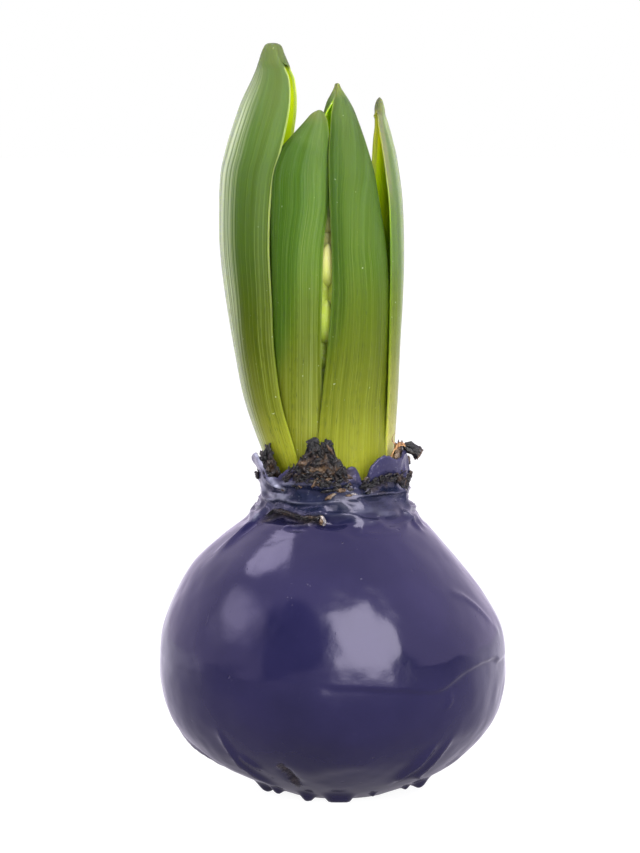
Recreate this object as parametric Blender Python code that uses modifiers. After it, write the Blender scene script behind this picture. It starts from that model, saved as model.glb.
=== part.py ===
"""A hyacinth bulb in a wax coat, in early leaf, with its flower spike still folded in.

Metres, +Z up. The origin is the middle of the flat foot that the wax coat stands on, on the
bulb's own axis. The front is -Y. Azimuths are degrees from +X towards +Y.

The pieces, from the outside in:
  wax_coat          thin shell round the bulb, flat under the foot, torn open at the neck
  bulb              solid body, dry tunic neck with ragged tongues, and the pit in its nose
  leaf_...          five fleshy cupped leaves standing in that pit
  flower_spike      stem with its closed buds, in the middle of the leaves
"""

import math
import random

import bmesh
import bpy
from mathutils import Matrix, Vector, noise

MM = 0.001

# Driving dimensions of the bulb and its coat, in millimetres.
WIDTH = 64.0  # across the wax
WAX = 0.8  # thickness of the coat
GAP = 0.45  # clearance between neighbouring pieces
TUNIC = 0.7  # wall of the dry neck that the leaves stand in
COLLAR_FOOT = 56.6  # height above which the torn edges stretch
COLLAR_TOP = 60.4  # mean height of the torn wax edge
TUNIC_TOP = 61.0  # mean height of the torn tunic edge
PIT_FLOOR = 50.4
LEAF_FOOT = PIT_FLOOR + 0.35
LEAF = 1.3  # thickness of a leaf along its keel
MARGIN = 0.65  # thickness of a leaf at its margins
BODY_ROWS = 16  # rows of faces up the bulb and its coat
BODY_STEPS = 50  # and round them

# Half outline of the waxed bulb, (radius, height), from the flat foot to the neck.
FOOT_RADIUS = 9.5
OUTLINE = [
    (FOOT_RADIUS, 0.0),
    (15.2, 2.2),
    (20.9, 5.2),
    (26.2, 9.2),
    (30.1, 14.4),
    (31.8, 20.2),
    (WIDTH / 2, 25.8),
    (31.3, 31.0),
    (28.9, 36.4),
    (25.0, 42.3),
    (20.4, 47.1),
    (16.3, 50.8),
    (14.1, 53.8),
    (13.5, COLLAR_FOOT),
    (13.9, 58.5),
    (14.5, COLLAR_TOP),
]
# The same line where the torn tunic carries on above the wax: (height, radius).
FLARE = [(COLLAR_FOOT, 13.5), (58.5, 13.9), (COLLAR_TOP, 14.5), (64.0, 15.6), (68.0, 16.6)]

# The bulb isn't quite straight: (height, sideways shift of its axis along X).
SWAY = [
    (0.0, 1.2),
    (4.0, 0.9),
    (9.0, 0.35),
    (20.0, 0.3),
    (31.0, 0.1),
    (37.0, -0.35),
    (42.5, -0.7),
    (47.0, -0.25),
    (51.0, 0.35),
    (55.4, 0.65),
    (60.4, 0.3),
    (67.0, -0.3),
]

# Hollows and swellings that the dipping left: (azimuth, height, spread in degrees,
# spread in height, depth), a negative depth being a hollow.
SWELLS = [
    (278.0, 25.0, 16.0, 9.0, -0.55),
    (240.0, 33.0, 18.0, 8.0, -0.50),
    (250.0, 43.0, 16.0, 5.0, -0.45),
    (312.0, 30.0, 20.0, 9.0, 0.45),
    (340.0, 20.0, 14.0, 7.0, -0.50),
    (205.0, 22.0, 22.0, 9.0, 0.35),
    (20.0, 34.0, 24.0, 8.0, -0.55),
    (75.0, 24.0, 26.0, 10.0, 0.50),
    (120.0, 36.0, 24.0, 8.0, -0.60),
    (155.0, 20.0, 18.0, 8.0, -0.50),
]

# Drips that ran together under the foot: (azimuth, distance from the axis, size).
DRIPS = [
    (252.0, 12.2, 2.3),
    (232.0, 13.6, 1.7),
    (272.0, 11.4, 2.6),
    (333.0, 14.2, 2.3),
    (20.0, 12.8, 2.0),
    (75.0, 12.2, 2.4),
    (118.0, 13.4, 1.9),
    (165.0, 12.6, 2.3),
]

# Torn edge of the wax: (azimuth, half width in degrees, rise above COLLAR_TOP).
WAX_LOBES = [
    (186.0, 12.0, 1.4),
    (207.0, 6.0, -1.6),
    (229.0, 9.0, 1.0),
    (262.0, 13.0, -2.9),
    (286.0, 6.0, 1.0),
    (298.5, 4.5, -2.6),
    (318.0, 12.0, 2.2),
    (345.0, 9.0, -1.7),
    (8.0, 12.0, -1.2),
    (55.0, 16.0, 1.8),
    (98.0, 15.0, -1.6),
    (135.0, 15.0, 1.4),
]

# Torn edge of the tunic: (azimuth, half width in degrees, rise above TUNIC_TOP).
TUNIC_TONGUES = [
    (261.0, 15.0, 5.2),
    (236.0, 5.0, 1.6),
    (206.0, 8.0, 3.6),
    (226.0, 6.0, -1.6),
    (343.0, 10.0, 3.4),
    (30.0, 10.0, 1.8),
    (88.0, 13.0, 4.2),
    (140.0, 10.0, 2.6),
    (302.0, 8.0, -2.6),
]

# The dry stub that hangs off the tunic on a fibre: the fibre's line, (x, y, z), then the stub.
FIBRE = [(11.5, -5.4, 59.2), (12.4, -5.7, 61.9), (14.0, -5.6, 63.4)]
FIBRE_RADIUS = 0.4
STUB = (14.6, -5.4, 63.6)
STUB_LENGTH = 4.6

# Each leaf is a stack of level cuts, from its foot to its tip. A cut is a piece of a ring:
# (height, centre x, centre y, outer radius, azimuth of one margin, azimuth of the other).
LEAVES = {
    "leaf_left": [
        (LEAF_FOOT, 0.4, 0.0, 11.0, 104, 240),
        (56.8, 0.65, 0.0, 10.95, 103, 241),
        (60.2, -0.4, 0.1, 11.0, 99, 245),
        (64.4, -2.6, 0.2, 10.7, 91, 253),
        (72.8, -7.0, 0.5, 9.2, 82, 262),
        (82.1, -10.1, 0.8, 8.0, 74, 270),
        (91.2, -12.0, 0.9, 7.56, 68, 276),
        (102.2, -13.2, 1.0, 7.53, 62, 282),
        (113.2, -13.1, 1.1, 7.6, 57, 287),
        (118.7, -12.2, 1.2, 7.4, 52, 292),
        (124.2, -11.4, 1.3, 6.5, 44, 300),
        (127.9, -11.0, 1.4, 5.6, 37, 307),
        (131.5, -10.6, 1.5, 4.3, 32, 312),
        (135.2, -10.8, 1.6, 2.85, 27, 317),
        (137.3, -11.0, 1.6, 1.9, 25, 320),
        (138.2, -11.1, 1.6, 0.9, 25, 320),
    ],
    "leaf_front_left": [
        (LEAF_FOOT, 0.4, 0.0, 9.15, 165, 251),
        (57.4, 0.55, 0.0, 9.15, 166, 251.5),
        (63.6, -0.2, -0.3, 9.2, 172, 252.6),
        (72.8, -1.5, -1.0, 8.6, 178, 264.7),
        (82.1, -3.2, -1.8, 7.9, 180, 279.0),
        (91.2, -4.2, -2.6, 7.3, 179, 288.5),
        (101.0, -4.5, -3.2, 6.75, 177, 295),
        (109.8, -4.2, -3.5, 6.2, 176, 308),
        (117.7, -3.5, -4.1, 5.1, 175, 307),
        (121.4, -2.9, -4.6, 3.9, 170, 306),
        (124.2, -2.5, -5.0, 2.7, 160, 308),
        (125.9, -2.35, -5.3, 1.6, 150, 320),
        (126.5, -2.3, -5.4, 0.8, 150, 320),
    ],
    "leaf_front_right": [
        (LEAF_FOOT, 0.4, -0.1, 9.15, 257, 357),
        (57.4, 0.55, -0.2, 9.15, 256, 357),
        (63.6, 0.5, -0.5, 9.4, 251.8, 356),
        (72.8, 1.3, -1.2, 8.75, 248.6, 362),
        (82.1, 2.2, -2.2, 7.95, 248.6, 368),
        (91.0, 2.9, -3.1, 7.25, 245.8, 370),
        (101.9, 3.4, -3.7, 6.8, 238.5, 375),
        (109.5, 2.9, -3.9, 6.5, 240.2, 385),
        (115.0, 2.3, -4.1, 5.6, 242, 405),
        (119.6, 1.9, -4.3, 4.6, 242, 440),
        (123.5, 1.4, -4.6, 3.6, 243, 480),
        (126.2, 1.05, -4.7, 2.85, 244, 505),
        (128.6, 0.9, -4.8, 2.0, 248, 500),
        (130.3, 0.9, -4.9, 1.15, 255, 490),
        (131.3, 0.95, -4.95, 0.55, 260, 485),
    ],
    "leaf_right": [
        (LEAF_FOOT, 0.4, 0.0, 10.9, -22, 92),
        (57.4, 0.6, 0.0, 11.0, -24, 92),
        (64.3, 1.3, -0.1, 10.5, -31, 92),
        (72.8, 3.0, -0.2, 9.2, -35.4, 93),
        (82.1, 4.65, -0.5, 8.0, -40.3, 95),
        (91.0, 6.1, -0.8, 7.0, -46.7, 97),
        (100.4, 7.2, -0.9, 6.0, -52, 98),
        (109.5, 7.8, -0.8, 4.8, -58.6, 100),
        (116.7, 8.2, -0.5, 3.4, -66, 102),
        (120.5, 8.3, -0.3, 2.6, -77, 106),
        (123.4, 8.4, -0.1, 1.9, -84, 110),
        (125.8, 8.6, 0.0, 1.25, -95, 115),
        (127.5, 8.7, 0.0, 0.8, -100, 120),
        (128.2, 8.7, 0.0, 0.5, -100, 120),
    ],
    "leaf_back": [
        (LEAF_FOOT, 0.4, 0.0, 9.15, 2, 160),
        (57.4, 0.55, 0.0, 9.15, 2, 161),
        (64.3, 0.3, -0.1, 8.7, 6, 163),
        (72.8, -0.3, 0.2, 7.6, 16, 160),
        (82.1, -0.5, 0.8, 7.15, 38, 152),
        (91.0, -0.5, 1.2, 6.85, 41, 150),
        (101.9, -0.3, 1.5, 6.4, 30, 150),
        (110.8, 0.0, 1.8, 5.4, 28, 152),
        (116.7, 0.2, 2.0, 4.0, 25, 155),
        (120.2, 0.4, 2.1, 2.5, 10, 170),
        (121.8, 0.5, 2.2, 1.4, 0, 180),
        (122.5, 0.5, 2.2, 0.7, 0, 180),
    ],
}

# The spike: its stem, and the head of closed buds, (height, x, y, radius of the head).
STEM_RADIUS = 3.0
SPIKE = [
    (LEAF_FOOT, 0.2, -0.4, 0.0),
    (79.0, -0.4, -1.5, 4.0),
    (87.0, -0.5, -1.7, 6.0),
    (98.0, -0.5, -1.7, 6.3),
    (105.0, -0.5, -1.8, 5.0),
    (111.0, -0.5, -1.9, 2.6),
]
# Whorls of buds: (height, buds in it, azimuth of the first, size of its buds).
WHORLS = [
    (82.4, 6, 296.0, 0.90),
    (87.6, 6, 266.0, 1.00),
    (92.8, 6, 296.0, 0.95),
    (98.0, 6, 266.0, 0.95),
    (102.8, 5, 300.0, 0.82),
    (106.6, 4, 266.0, 0.70),
    (110.0, 1, 0.0, 0.60),
]
BUD_LENGTH = 8.6
BUD_WIDTH = 4.5


def spline(stations, at):
    """Values at a place on a smooth line through (place, value, ...) stations."""
    places = [row[0] for row in stations]
    at = min(max(at, places[0]), places[-1])
    i = max(k for k in range(len(places) - 1) if places[k] <= at)
    span = places[i + 1] - places[i]
    t = (at - places[i]) / span

    def slope(k, column):
        before, after = max(k - 1, 0), min(k + 1, len(stations) - 1)
        rise = stations[after][column] - stations[before][column]
        return rise / (places[after] - places[before]) * span

    found = []
    for column in range(1, len(stations[0])):
        a, b = stations[i][column], stations[i + 1][column]
        found.append(
            (2 * t**3 - 3 * t**2 + 1) * a
            + (t**3 - 2 * t**2 + t) * slope(i, column)
            + (3 * t**2 - 2 * t**3) * b
            + (t**3 - t**2) * slope(i + 1, column)
        )
    return found


def smooth_rows(rows, count):
    """This many rows, spaced evenly by index, on a smooth line through the given ones."""
    stations = [(i, *row) for i, row in enumerate(rows)]
    last = len(rows) - 1
    return [tuple(spline(stations, last * i / (count - 1))) for i in range(count)]


def bump(distance, spread):
    """A round hump: 1 in the middle, near 0 at twice its spread."""
    return math.exp(-((distance / spread) ** 2))


def turn_between(a, b):
    """Degrees from azimuth b to azimuth a, the short way round."""
    return (a - b + 180.0) % 360.0 - 180.0


def torn_edge(azimuth, lobes):
    """Rise of a torn edge at this azimuth: its lobes, and a finer raggedness."""
    rise = sum(r * bump(turn_between(azimuth, at), half) for at, half, r in lobes)
    turn = math.radians(azimuth)
    return rise + 0.6 * noise.noise(Vector((4 * math.cos(turn), 4 * math.sin(turn), 1.0)))


def swell(azimuth, height):
    """How far the bulb's side stands out or in at a place."""
    return sum(
        depth * bump(turn_between(azimuth, at), wide) * bump(height - level, tall)
        for at, level, wide, tall, depth in SWELLS
    )


def link(obj, collection):
    collection.objects.link(obj)
    return obj


def finish(obj, colour, roughness):
    """Gives a piece its material and smooth shading, with edges over 40 degrees sharp."""
    material = bpy.data.materials.new(obj.name)
    material.use_nodes = True
    shader = material.node_tree.nodes["Principled BSDF"]
    shader.inputs["Base Color"].default_value = (*colour, 1.0)
    shader.inputs["Roughness"].default_value = roughness
    shader.inputs["Metallic"].default_value = 0.0
    obj.data.materials.clear()
    obj.data.materials.append(material)
    obj.data.shade_smooth()
    obj.data.set_sharp_from_angle(angle=math.radians(40.0))


def apply_modifiers(obj):
    """Replaces an object's mesh with its evaluated one and drops its modifiers."""
    graph = bpy.context.evaluated_depsgraph_get()
    made = bpy.data.meshes.new_from_object(obj.evaluated_get(graph))
    obj.modifiers.clear()
    obj.data = made


def turned(name, profile, skin, steps, collection):
    """A (radius, height) profile, in millimetres, spun round the Z axis.

    It runs up the outside first. Those skin points are kept as a vertex group.
    """
    mesh = bpy.data.meshes.new(name)
    points = [(radius * MM, 0.0, height * MM) for radius, height in reversed(profile)]
    mesh.from_pydata(points, [(i, i + 1) for i in range(len(points) - 1)], [])
    obj = link(bpy.data.objects.new(name, mesh), collection)
    outside = obj.vertex_groups.new(name="outside")
    outside.add(list(range(len(points) - skin, len(points))), 1.0, "REPLACE")
    screw = obj.modifiers.new("turn", "SCREW")
    screw.steps = screw.render_steps = steps
    screw.use_merge_vertices = True
    screw.merge_threshold = 0.00002
    apply_modifiers(obj)
    return obj


def inset(profile, depth):
    """A profile moved inwards, square to itself, by a depth in millimetres."""
    moved = []
    for i, (radius, height) in enumerate(profile):
        before, after = profile[max(i - 1, 0)], profile[min(i + 1, len(profile) - 1)]
        along = Vector((after[0] - before[0], after[1] - before[1])).normalized()
        moved.append((radius - depth * along.y, height + depth * along.x))
    return moved


def place_on_bulb(obj, top, lobes):
    """Moves a turned surface's points to the real bulb's form.

    top is the height of the torn edge where its lobes rise by nothing. Everything above
    COLLAR_FOOT stretches to that edge along the flaring line of the neck.
    """
    for vertex in obj.data.vertices:
        x, y, height = vertex.co / MM
        radius = math.hypot(x, y)
        azimuth = math.degrees(math.atan2(y, x)) % 360.0
        if radius > FOOT_RADIUS + 0.5 and height < COLLAR_FOOT:
            radius += swell(azimuth, height)
        if height > COLLAR_FOOT:
            before = spline(FLARE, height)[0]
            part = (height - COLLAR_FOOT) / (top - COLLAR_FOOT)
            height += part * torn_edge(azimuth, lobes)
            radius += spline(FLARE, height)[0] - before
        turn = math.radians(azimuth)
        shift = spline(SWAY, height)[0]
        vertex.co = (
            (radius * math.cos(turn) + shift) * MM,
            radius * math.sin(turn) * MM,
            height * MM,
        )


def add_drips(obj):
    """Draws the outside of the wax down into drips round the foot."""
    for vertex in obj.data.vertices:
        x, y, height = vertex.co / MM
        if height > 14.0 or not vertex.groups:
            continue
        azimuth = math.degrees(math.atan2(y, x))
        reach = math.hypot(x, y)
        drop = 0.0
        for at, distance, size in DRIPS:
            aside = math.radians(turn_between(azimuth, at)) * reach
            drop += 0.75 * size * bump(math.hypot(aside, reach - distance), size)
        vertex.co.z = max(0.0, height - drop) * MM


def coat_profile():
    """The wax's half section: up its outside, over the edge, and down its inside."""
    skin = smooth_rows(OUTLINE, BODY_ROWS)
    inside = [(max(r, 0.0), z) for r, z in inset(skin, WAX)]
    inside[0] = (FOOT_RADIUS - 1.2, WAX)
    outside = [(0.0, 0.0), (FOOT_RADIUS * 0.5, 0.0)] + skin
    return outside, outside + inside[::-1] + [(0.0, WAX)]


def make_wax_coat(collection):
    """The dipped coat: an open turned shell, dented, dripped and torn."""
    outside, profile = coat_profile()
    obj = turned("wax_coat", profile, len(outside), BODY_STEPS, collection)
    place_on_bulb(obj, COLLAR_TOP, WAX_LOBES)
    add_drips(obj)
    finish(obj, (0.045, 0.040, 0.14), 0.22)
    return obj


def make_fibre(collection):
    """The stub of dead leaf on its fibre: a bent tube that sinks into the tunic."""
    curve = bpy.data.curves.new("fibre", "CURVE")
    curve.dimensions = "3D"
    curve.bevel_depth = FIBRE_RADIUS * MM
    curve.bevel_resolution = 1
    curve.resolution_u = 4
    curve.use_fill_caps = True
    line = curve.splines.new("POLY")
    line.points.add(len(FIBRE) - 1)
    for point, place in zip(line.points, FIBRE):
        point.co = (*(Vector(place) * MM), 1.0)
    fibre = link(bpy.data.objects.new("fibre", curve), collection)
    mesh = bpy.data.meshes.new_from_object(fibre)
    bpy.data.objects.remove(fibre)
    return link(bpy.data.objects.new("fibre", mesh), collection)


def make_stub(collection):
    """The stub itself: a small curled lump."""
    mesh = bpy.data.meshes.new("stub")
    lump = bmesh.new()
    bmesh.ops.create_icosphere(lump, subdivisions=2, radius=0.5 * STUB_LENGTH * MM)
    for vertex in lump.verts:
        wide = 0.42 + 0.10 * noise.noise(vertex.co / MM)
        vertex.co.y *= wide
        vertex.co.z = vertex.co.z * wide - 0.12 * vertex.co.x**2 / MM
    bmesh.ops.rotate(lump, matrix=Matrix.Rotation(-0.6, 3, "Y"), verts=lump.verts)
    lump.to_mesh(mesh)
    lump.free()
    stub = link(bpy.data.objects.new("stub", mesh), collection)
    stub.data.transform(Matrix.Translation(Vector(STUB) * MM))
    return stub


def fuse(obj, others, solver):
    """Joins the other solids, which it removes, to this one."""
    group = bpy.data.collections.new(obj.name + "_pieces")
    for other in others:
        group.objects.link(other)
    union = obj.modifiers.new("fuse", "BOOLEAN")
    union.operation = "UNION"
    union.operand_type = "COLLECTION"
    union.collection = group
    union.solver = solver
    apply_modifiers(obj)
    for other in others:
        bpy.data.objects.remove(other)
    bpy.data.collections.remove(group)


def make_bulb(collection):
    """The bulb in its wax: body, open tunic neck, and the pit that the leaves stand in."""
    skin = inset(smooth_rows(OUTLINE, BODY_ROWS), WAX + GAP)
    skin[0] = (FOOT_RADIUS - 1.6, WAX + GAP)
    skin = [(r - 0.12 if z > COLLAR_FOOT - 0.4 else r, z) for r, z in skin]
    skin[-1] = (skin[-1][0], TUNIC_TOP)
    outside = [(0.0, WAX + GAP)] + skin
    wall = [(r - TUNIC, z) for r, z in skin if z > COLLAR_FOOT - 0.4]
    neck = wall[0][0]
    pit = [(neck - 0.05, PIT_FLOOR), (0.0, PIT_FLOOR)]
    obj = turned("bulb", outside + wall[::-1] + pit, len(outside), BODY_STEPS, collection)
    place_on_bulb(obj, TUNIC_TOP, TUNIC_TONGUES)
    fuse(obj, [make_fibre(collection), make_stub(collection)], "EXACT")
    finish(obj, (0.16, 0.10, 0.05), 0.75)
    return obj


def leaf_cut(row, across):
    """One level cut of a leaf: its outside from margin to margin, then its inside back."""
    height, x, y, radius, start, end = row
    places = [-1.0 + 2.0 * i / (across - 1) for i in range(across)]
    outside, inside = [], []
    for u in places:
        turn = math.radians(start + (end - start) * 0.5 * (u + 1.0))
        thick = MARGIN + (LEAF - MARGIN) * (1.0 - abs(u) ** 2.5)
        depth = max(radius - thick, 0.12 * radius)
        outside.append((x + radius * math.cos(turn), y + radius * math.sin(turn), height))
        inside.append((x + depth * math.cos(turn), y + depth * math.sin(turn), height))
    return outside + inside[::-1]


def make_leaf(name, rows, collection, levels=22, across=12):
    """A fleshy cupped leaf: a closed skin over its level cuts."""
    cuts = [leaf_cut(row, across) for row in smooth_rows(rows, levels)]
    size = len(cuts[0])
    points = [tuple(v * MM for v in point) for cut in cuts for point in cut]
    faces = []
    for level in range(len(cuts) - 1):
        low, high = level * size, (level + 1) * size
        for i in range(size):
            j = (i + 1) % size
            faces.append((low + i, low + j, high + j, high + i))
    for base, flip in ((0, True), ((len(cuts) - 1) * size, False)):
        for i in range(across - 1):
            quad = [base + i, base + i + 1, base + size - 2 - i, base + size - 1 - i]
            faces.append(tuple(quad[::-1] if flip else quad))
    mesh = bpy.data.meshes.new(name)
    mesh.from_pydata(points, [], faces)
    obj = link(bpy.data.objects.new(name, mesh), collection)
    finish(obj, (0.17, 0.26, 0.06), 0.42)
    return obj


def spike_core(collection):
    """The stem and the cone inside the buds, as one turned solid along its leaning line."""
    mesh = bpy.data.meshes.new("flower_spike")
    core = bmesh.new()
    rings = []
    for height, x, y, radius in smooth_rows(SPIKE, 12):
        wide = max(radius * 0.70, STEM_RADIUS) if height < 103.0 else max(radius * 0.70, 1.0)
        turns = [math.tau * i / 14 for i in range(14)]
        ring = [
            (x + wide * math.cos(turn), y + wide * math.sin(turn), height) for turn in turns
        ]
        rings.append([core.verts.new(Vector(point) * MM) for point in ring])
    for low, high in zip(rings, rings[1:]):
        for i in range(14):
            core.faces.new((low[i], low[(i + 1) % 14], high[(i + 1) % 14], high[i]))
    core.faces.new(rings[0][::-1])
    core.faces.new(rings[-1])
    core.to_mesh(mesh)
    core.free()
    return link(bpy.data.objects.new("flower_spike", mesh), collection)


def make_bud(place, lean, azimuth, size, collection):
    """One closed bud: an oblong egg whose narrow end points up and out."""
    mesh = bpy.data.meshes.new("bud")
    egg = bmesh.new()
    bmesh.ops.create_uvsphere(egg, u_segments=7, v_segments=5, radius=1.0)
    for vertex in egg.verts:
        taper = 1.0 - 0.22 * vertex.co.z
        vertex.co.x *= 0.5 * BUD_WIDTH * size * taper * MM
        vertex.co.y *= 0.5 * BUD_WIDTH * size * taper * MM
        vertex.co.z *= 0.5 * BUD_LENGTH * size * MM
    egg.to_mesh(mesh)
    egg.free()
    spin = Matrix.Rotation(azimuth, 4, "Z") @ Matrix.Rotation(lean, 4, "Y")
    mesh.transform(Matrix.Translation(Vector(place) * MM) @ spin)
    return link(bpy.data.objects.new("bud", mesh), collection)


def make_flower_spike(collection):
    """The folded flower spike: whorls of closed buds, each sunk in the cone of the stem."""
    obj = spike_core(collection)
    chance = random.Random(7)
    buds = []
    for height, count, first, size in WHORLS:
        x, y, radius = spline(SPIKE, height)
        for i in range(count):
            azimuth = math.radians(first + 360.0 * i / count + chance.uniform(-4.0, 4.0))
            out = max(radius - 0.5 * BUD_WIDTH * size, 0.0) if count > 1 else 0.0
            place = (x + out * math.cos(azimuth), y + out * math.sin(azimuth), height)
            lean = math.radians(14.0 if count > 4 else 6.0)
            buds.append(make_bud(place, lean, azimuth, size, collection))
    fuse(obj, buds, "MANIFOLD")
    finish(obj, (0.24, 0.33, 0.10), 0.5)
    return obj


def main():
    for obj in list(bpy.data.objects):
        bpy.data.objects.remove(obj)
    collection = bpy.data.collections.new("waxed_hyacinth")
    bpy.context.scene.collection.children.link(collection)
    make_wax_coat(collection)
    make_bulb(collection)
    for name, rows in LEAVES.items():
        make_leaf(name, rows, collection)
    make_flower_spike(collection)


main()
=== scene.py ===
"""The looks of the waxed hyacinth bulb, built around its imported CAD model.

Lengths are in millimetres until a mesh is made. Azimuths are degrees from +X towards +Y, and
the front is -Y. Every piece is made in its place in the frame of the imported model.
"""

import math
import random

import bpy
import numpy as np
from mathutils import Matrix, Vector

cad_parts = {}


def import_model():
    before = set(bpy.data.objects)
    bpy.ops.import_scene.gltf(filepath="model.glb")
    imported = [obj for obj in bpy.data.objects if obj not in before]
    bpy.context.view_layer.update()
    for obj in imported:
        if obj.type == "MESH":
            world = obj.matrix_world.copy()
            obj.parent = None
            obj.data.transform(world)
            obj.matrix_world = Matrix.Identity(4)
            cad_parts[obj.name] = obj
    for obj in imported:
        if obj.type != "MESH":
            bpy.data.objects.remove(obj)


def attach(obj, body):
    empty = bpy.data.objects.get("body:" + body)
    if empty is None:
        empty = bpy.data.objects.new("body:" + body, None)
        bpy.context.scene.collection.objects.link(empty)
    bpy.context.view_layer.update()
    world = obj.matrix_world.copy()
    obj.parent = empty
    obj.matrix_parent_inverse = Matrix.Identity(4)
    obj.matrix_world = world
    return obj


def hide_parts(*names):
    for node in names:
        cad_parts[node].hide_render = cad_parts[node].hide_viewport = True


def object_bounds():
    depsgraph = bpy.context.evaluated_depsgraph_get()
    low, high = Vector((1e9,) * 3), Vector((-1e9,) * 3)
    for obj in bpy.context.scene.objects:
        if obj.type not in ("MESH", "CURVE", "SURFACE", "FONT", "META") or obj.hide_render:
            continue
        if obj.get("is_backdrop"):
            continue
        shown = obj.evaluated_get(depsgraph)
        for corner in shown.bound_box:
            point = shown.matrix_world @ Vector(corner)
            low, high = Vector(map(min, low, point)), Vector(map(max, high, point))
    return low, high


MM = 0.001
# The driving sizes of the bulb and its coat, as in the part's source.
WIDTH = 64.0
WAX = 0.8
GAP = 0.45
TUNIC = 0.7
COLLAR_FOOT = 56.6
COLLAR_TOP = 60.4
PIT_FLOOR = 50.4
LEAF_FOOT = PIT_FLOOR + 0.35
LEAF = 1.3
EDGE = 0.42
FOOT_RADIUS = 9.5
STEM_RADIUS = 3.0
BUD_LENGTH = 8.6
BUD_WIDTH = 4.5

# Rows of points up the wax.
SKIN_ROWS = 211
# Half section of the wax: (radius, height).
OUTLINE = [
    (FOOT_RADIUS, 0), (15.2, 2.2), (20.9, 5.2), (26.2, 9.2), (30.1, 14.4), (31.8, 20.2),
    (WIDTH / 2, 25.8), (31.3, 31), (28.9, 36.4), (25, 42.3), (20.4, 47.1), (16.3, 50.8),
    (14.1, 53.8), (13.5, COLLAR_FOOT), (13.9, 58.5), (14.5, COLLAR_TOP),
]
# The neck: (height, radius).
FLARE = [(COLLAR_FOOT, 13.5), (58.5, 13.9), (COLLAR_TOP, 14.5), (64, 15.6), (68, 16.6)]
# How far the middle stands to the right: (height, x).
SWAY = [
    (0, 1.2), (4, 0.9), (9, 0.35), (20, 0.3), (31, 0.1), (37, -0.35), (42.5, -0.7), (47, -0.25),
    (51, 0.35), (55.4, 0.65), (60.4, 0.3), (67, -0.3),
]
# Swells and flats of the bulb: (azimuth, height, degrees wide, height spread, rise).
SWELLS = [
    (278, 25, 16, 9, -0.55), (240, 33, 18, 8, -0.5), (250, 43, 16, 5, -0.45),
    (312, 30, 20, 9, 0.45), (340, 20, 14, 7, -0.5), (205, 22, 22, 9, 0.35), (20, 34, 24, 8, -0.55),
    (75, 24, 26, 10, 0.5), (120, 36, 24, 8, -0.6), (155, 20, 18, 8, -0.5),
]
# Drips under the foot: (azimuth, distance from the middle, size).
DRIPS = [
    (221, 14.8, 1), (244, 13, 1.35), (266, 12.4, 1.6), (275, 12.4, 1.6), (298, 13.6, 0.6),
    (328, 14.8, 0.6), (341, 16.2, 1.3), (20, 12.8, 1.7), (38, 13.6, 1.2), (75, 12.2, 2),
    (118, 13.4, 1.6), (131, 12.6, 1.3), (165, 12.6, 1.9), (193, 13.8, 1.4),
]
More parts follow.
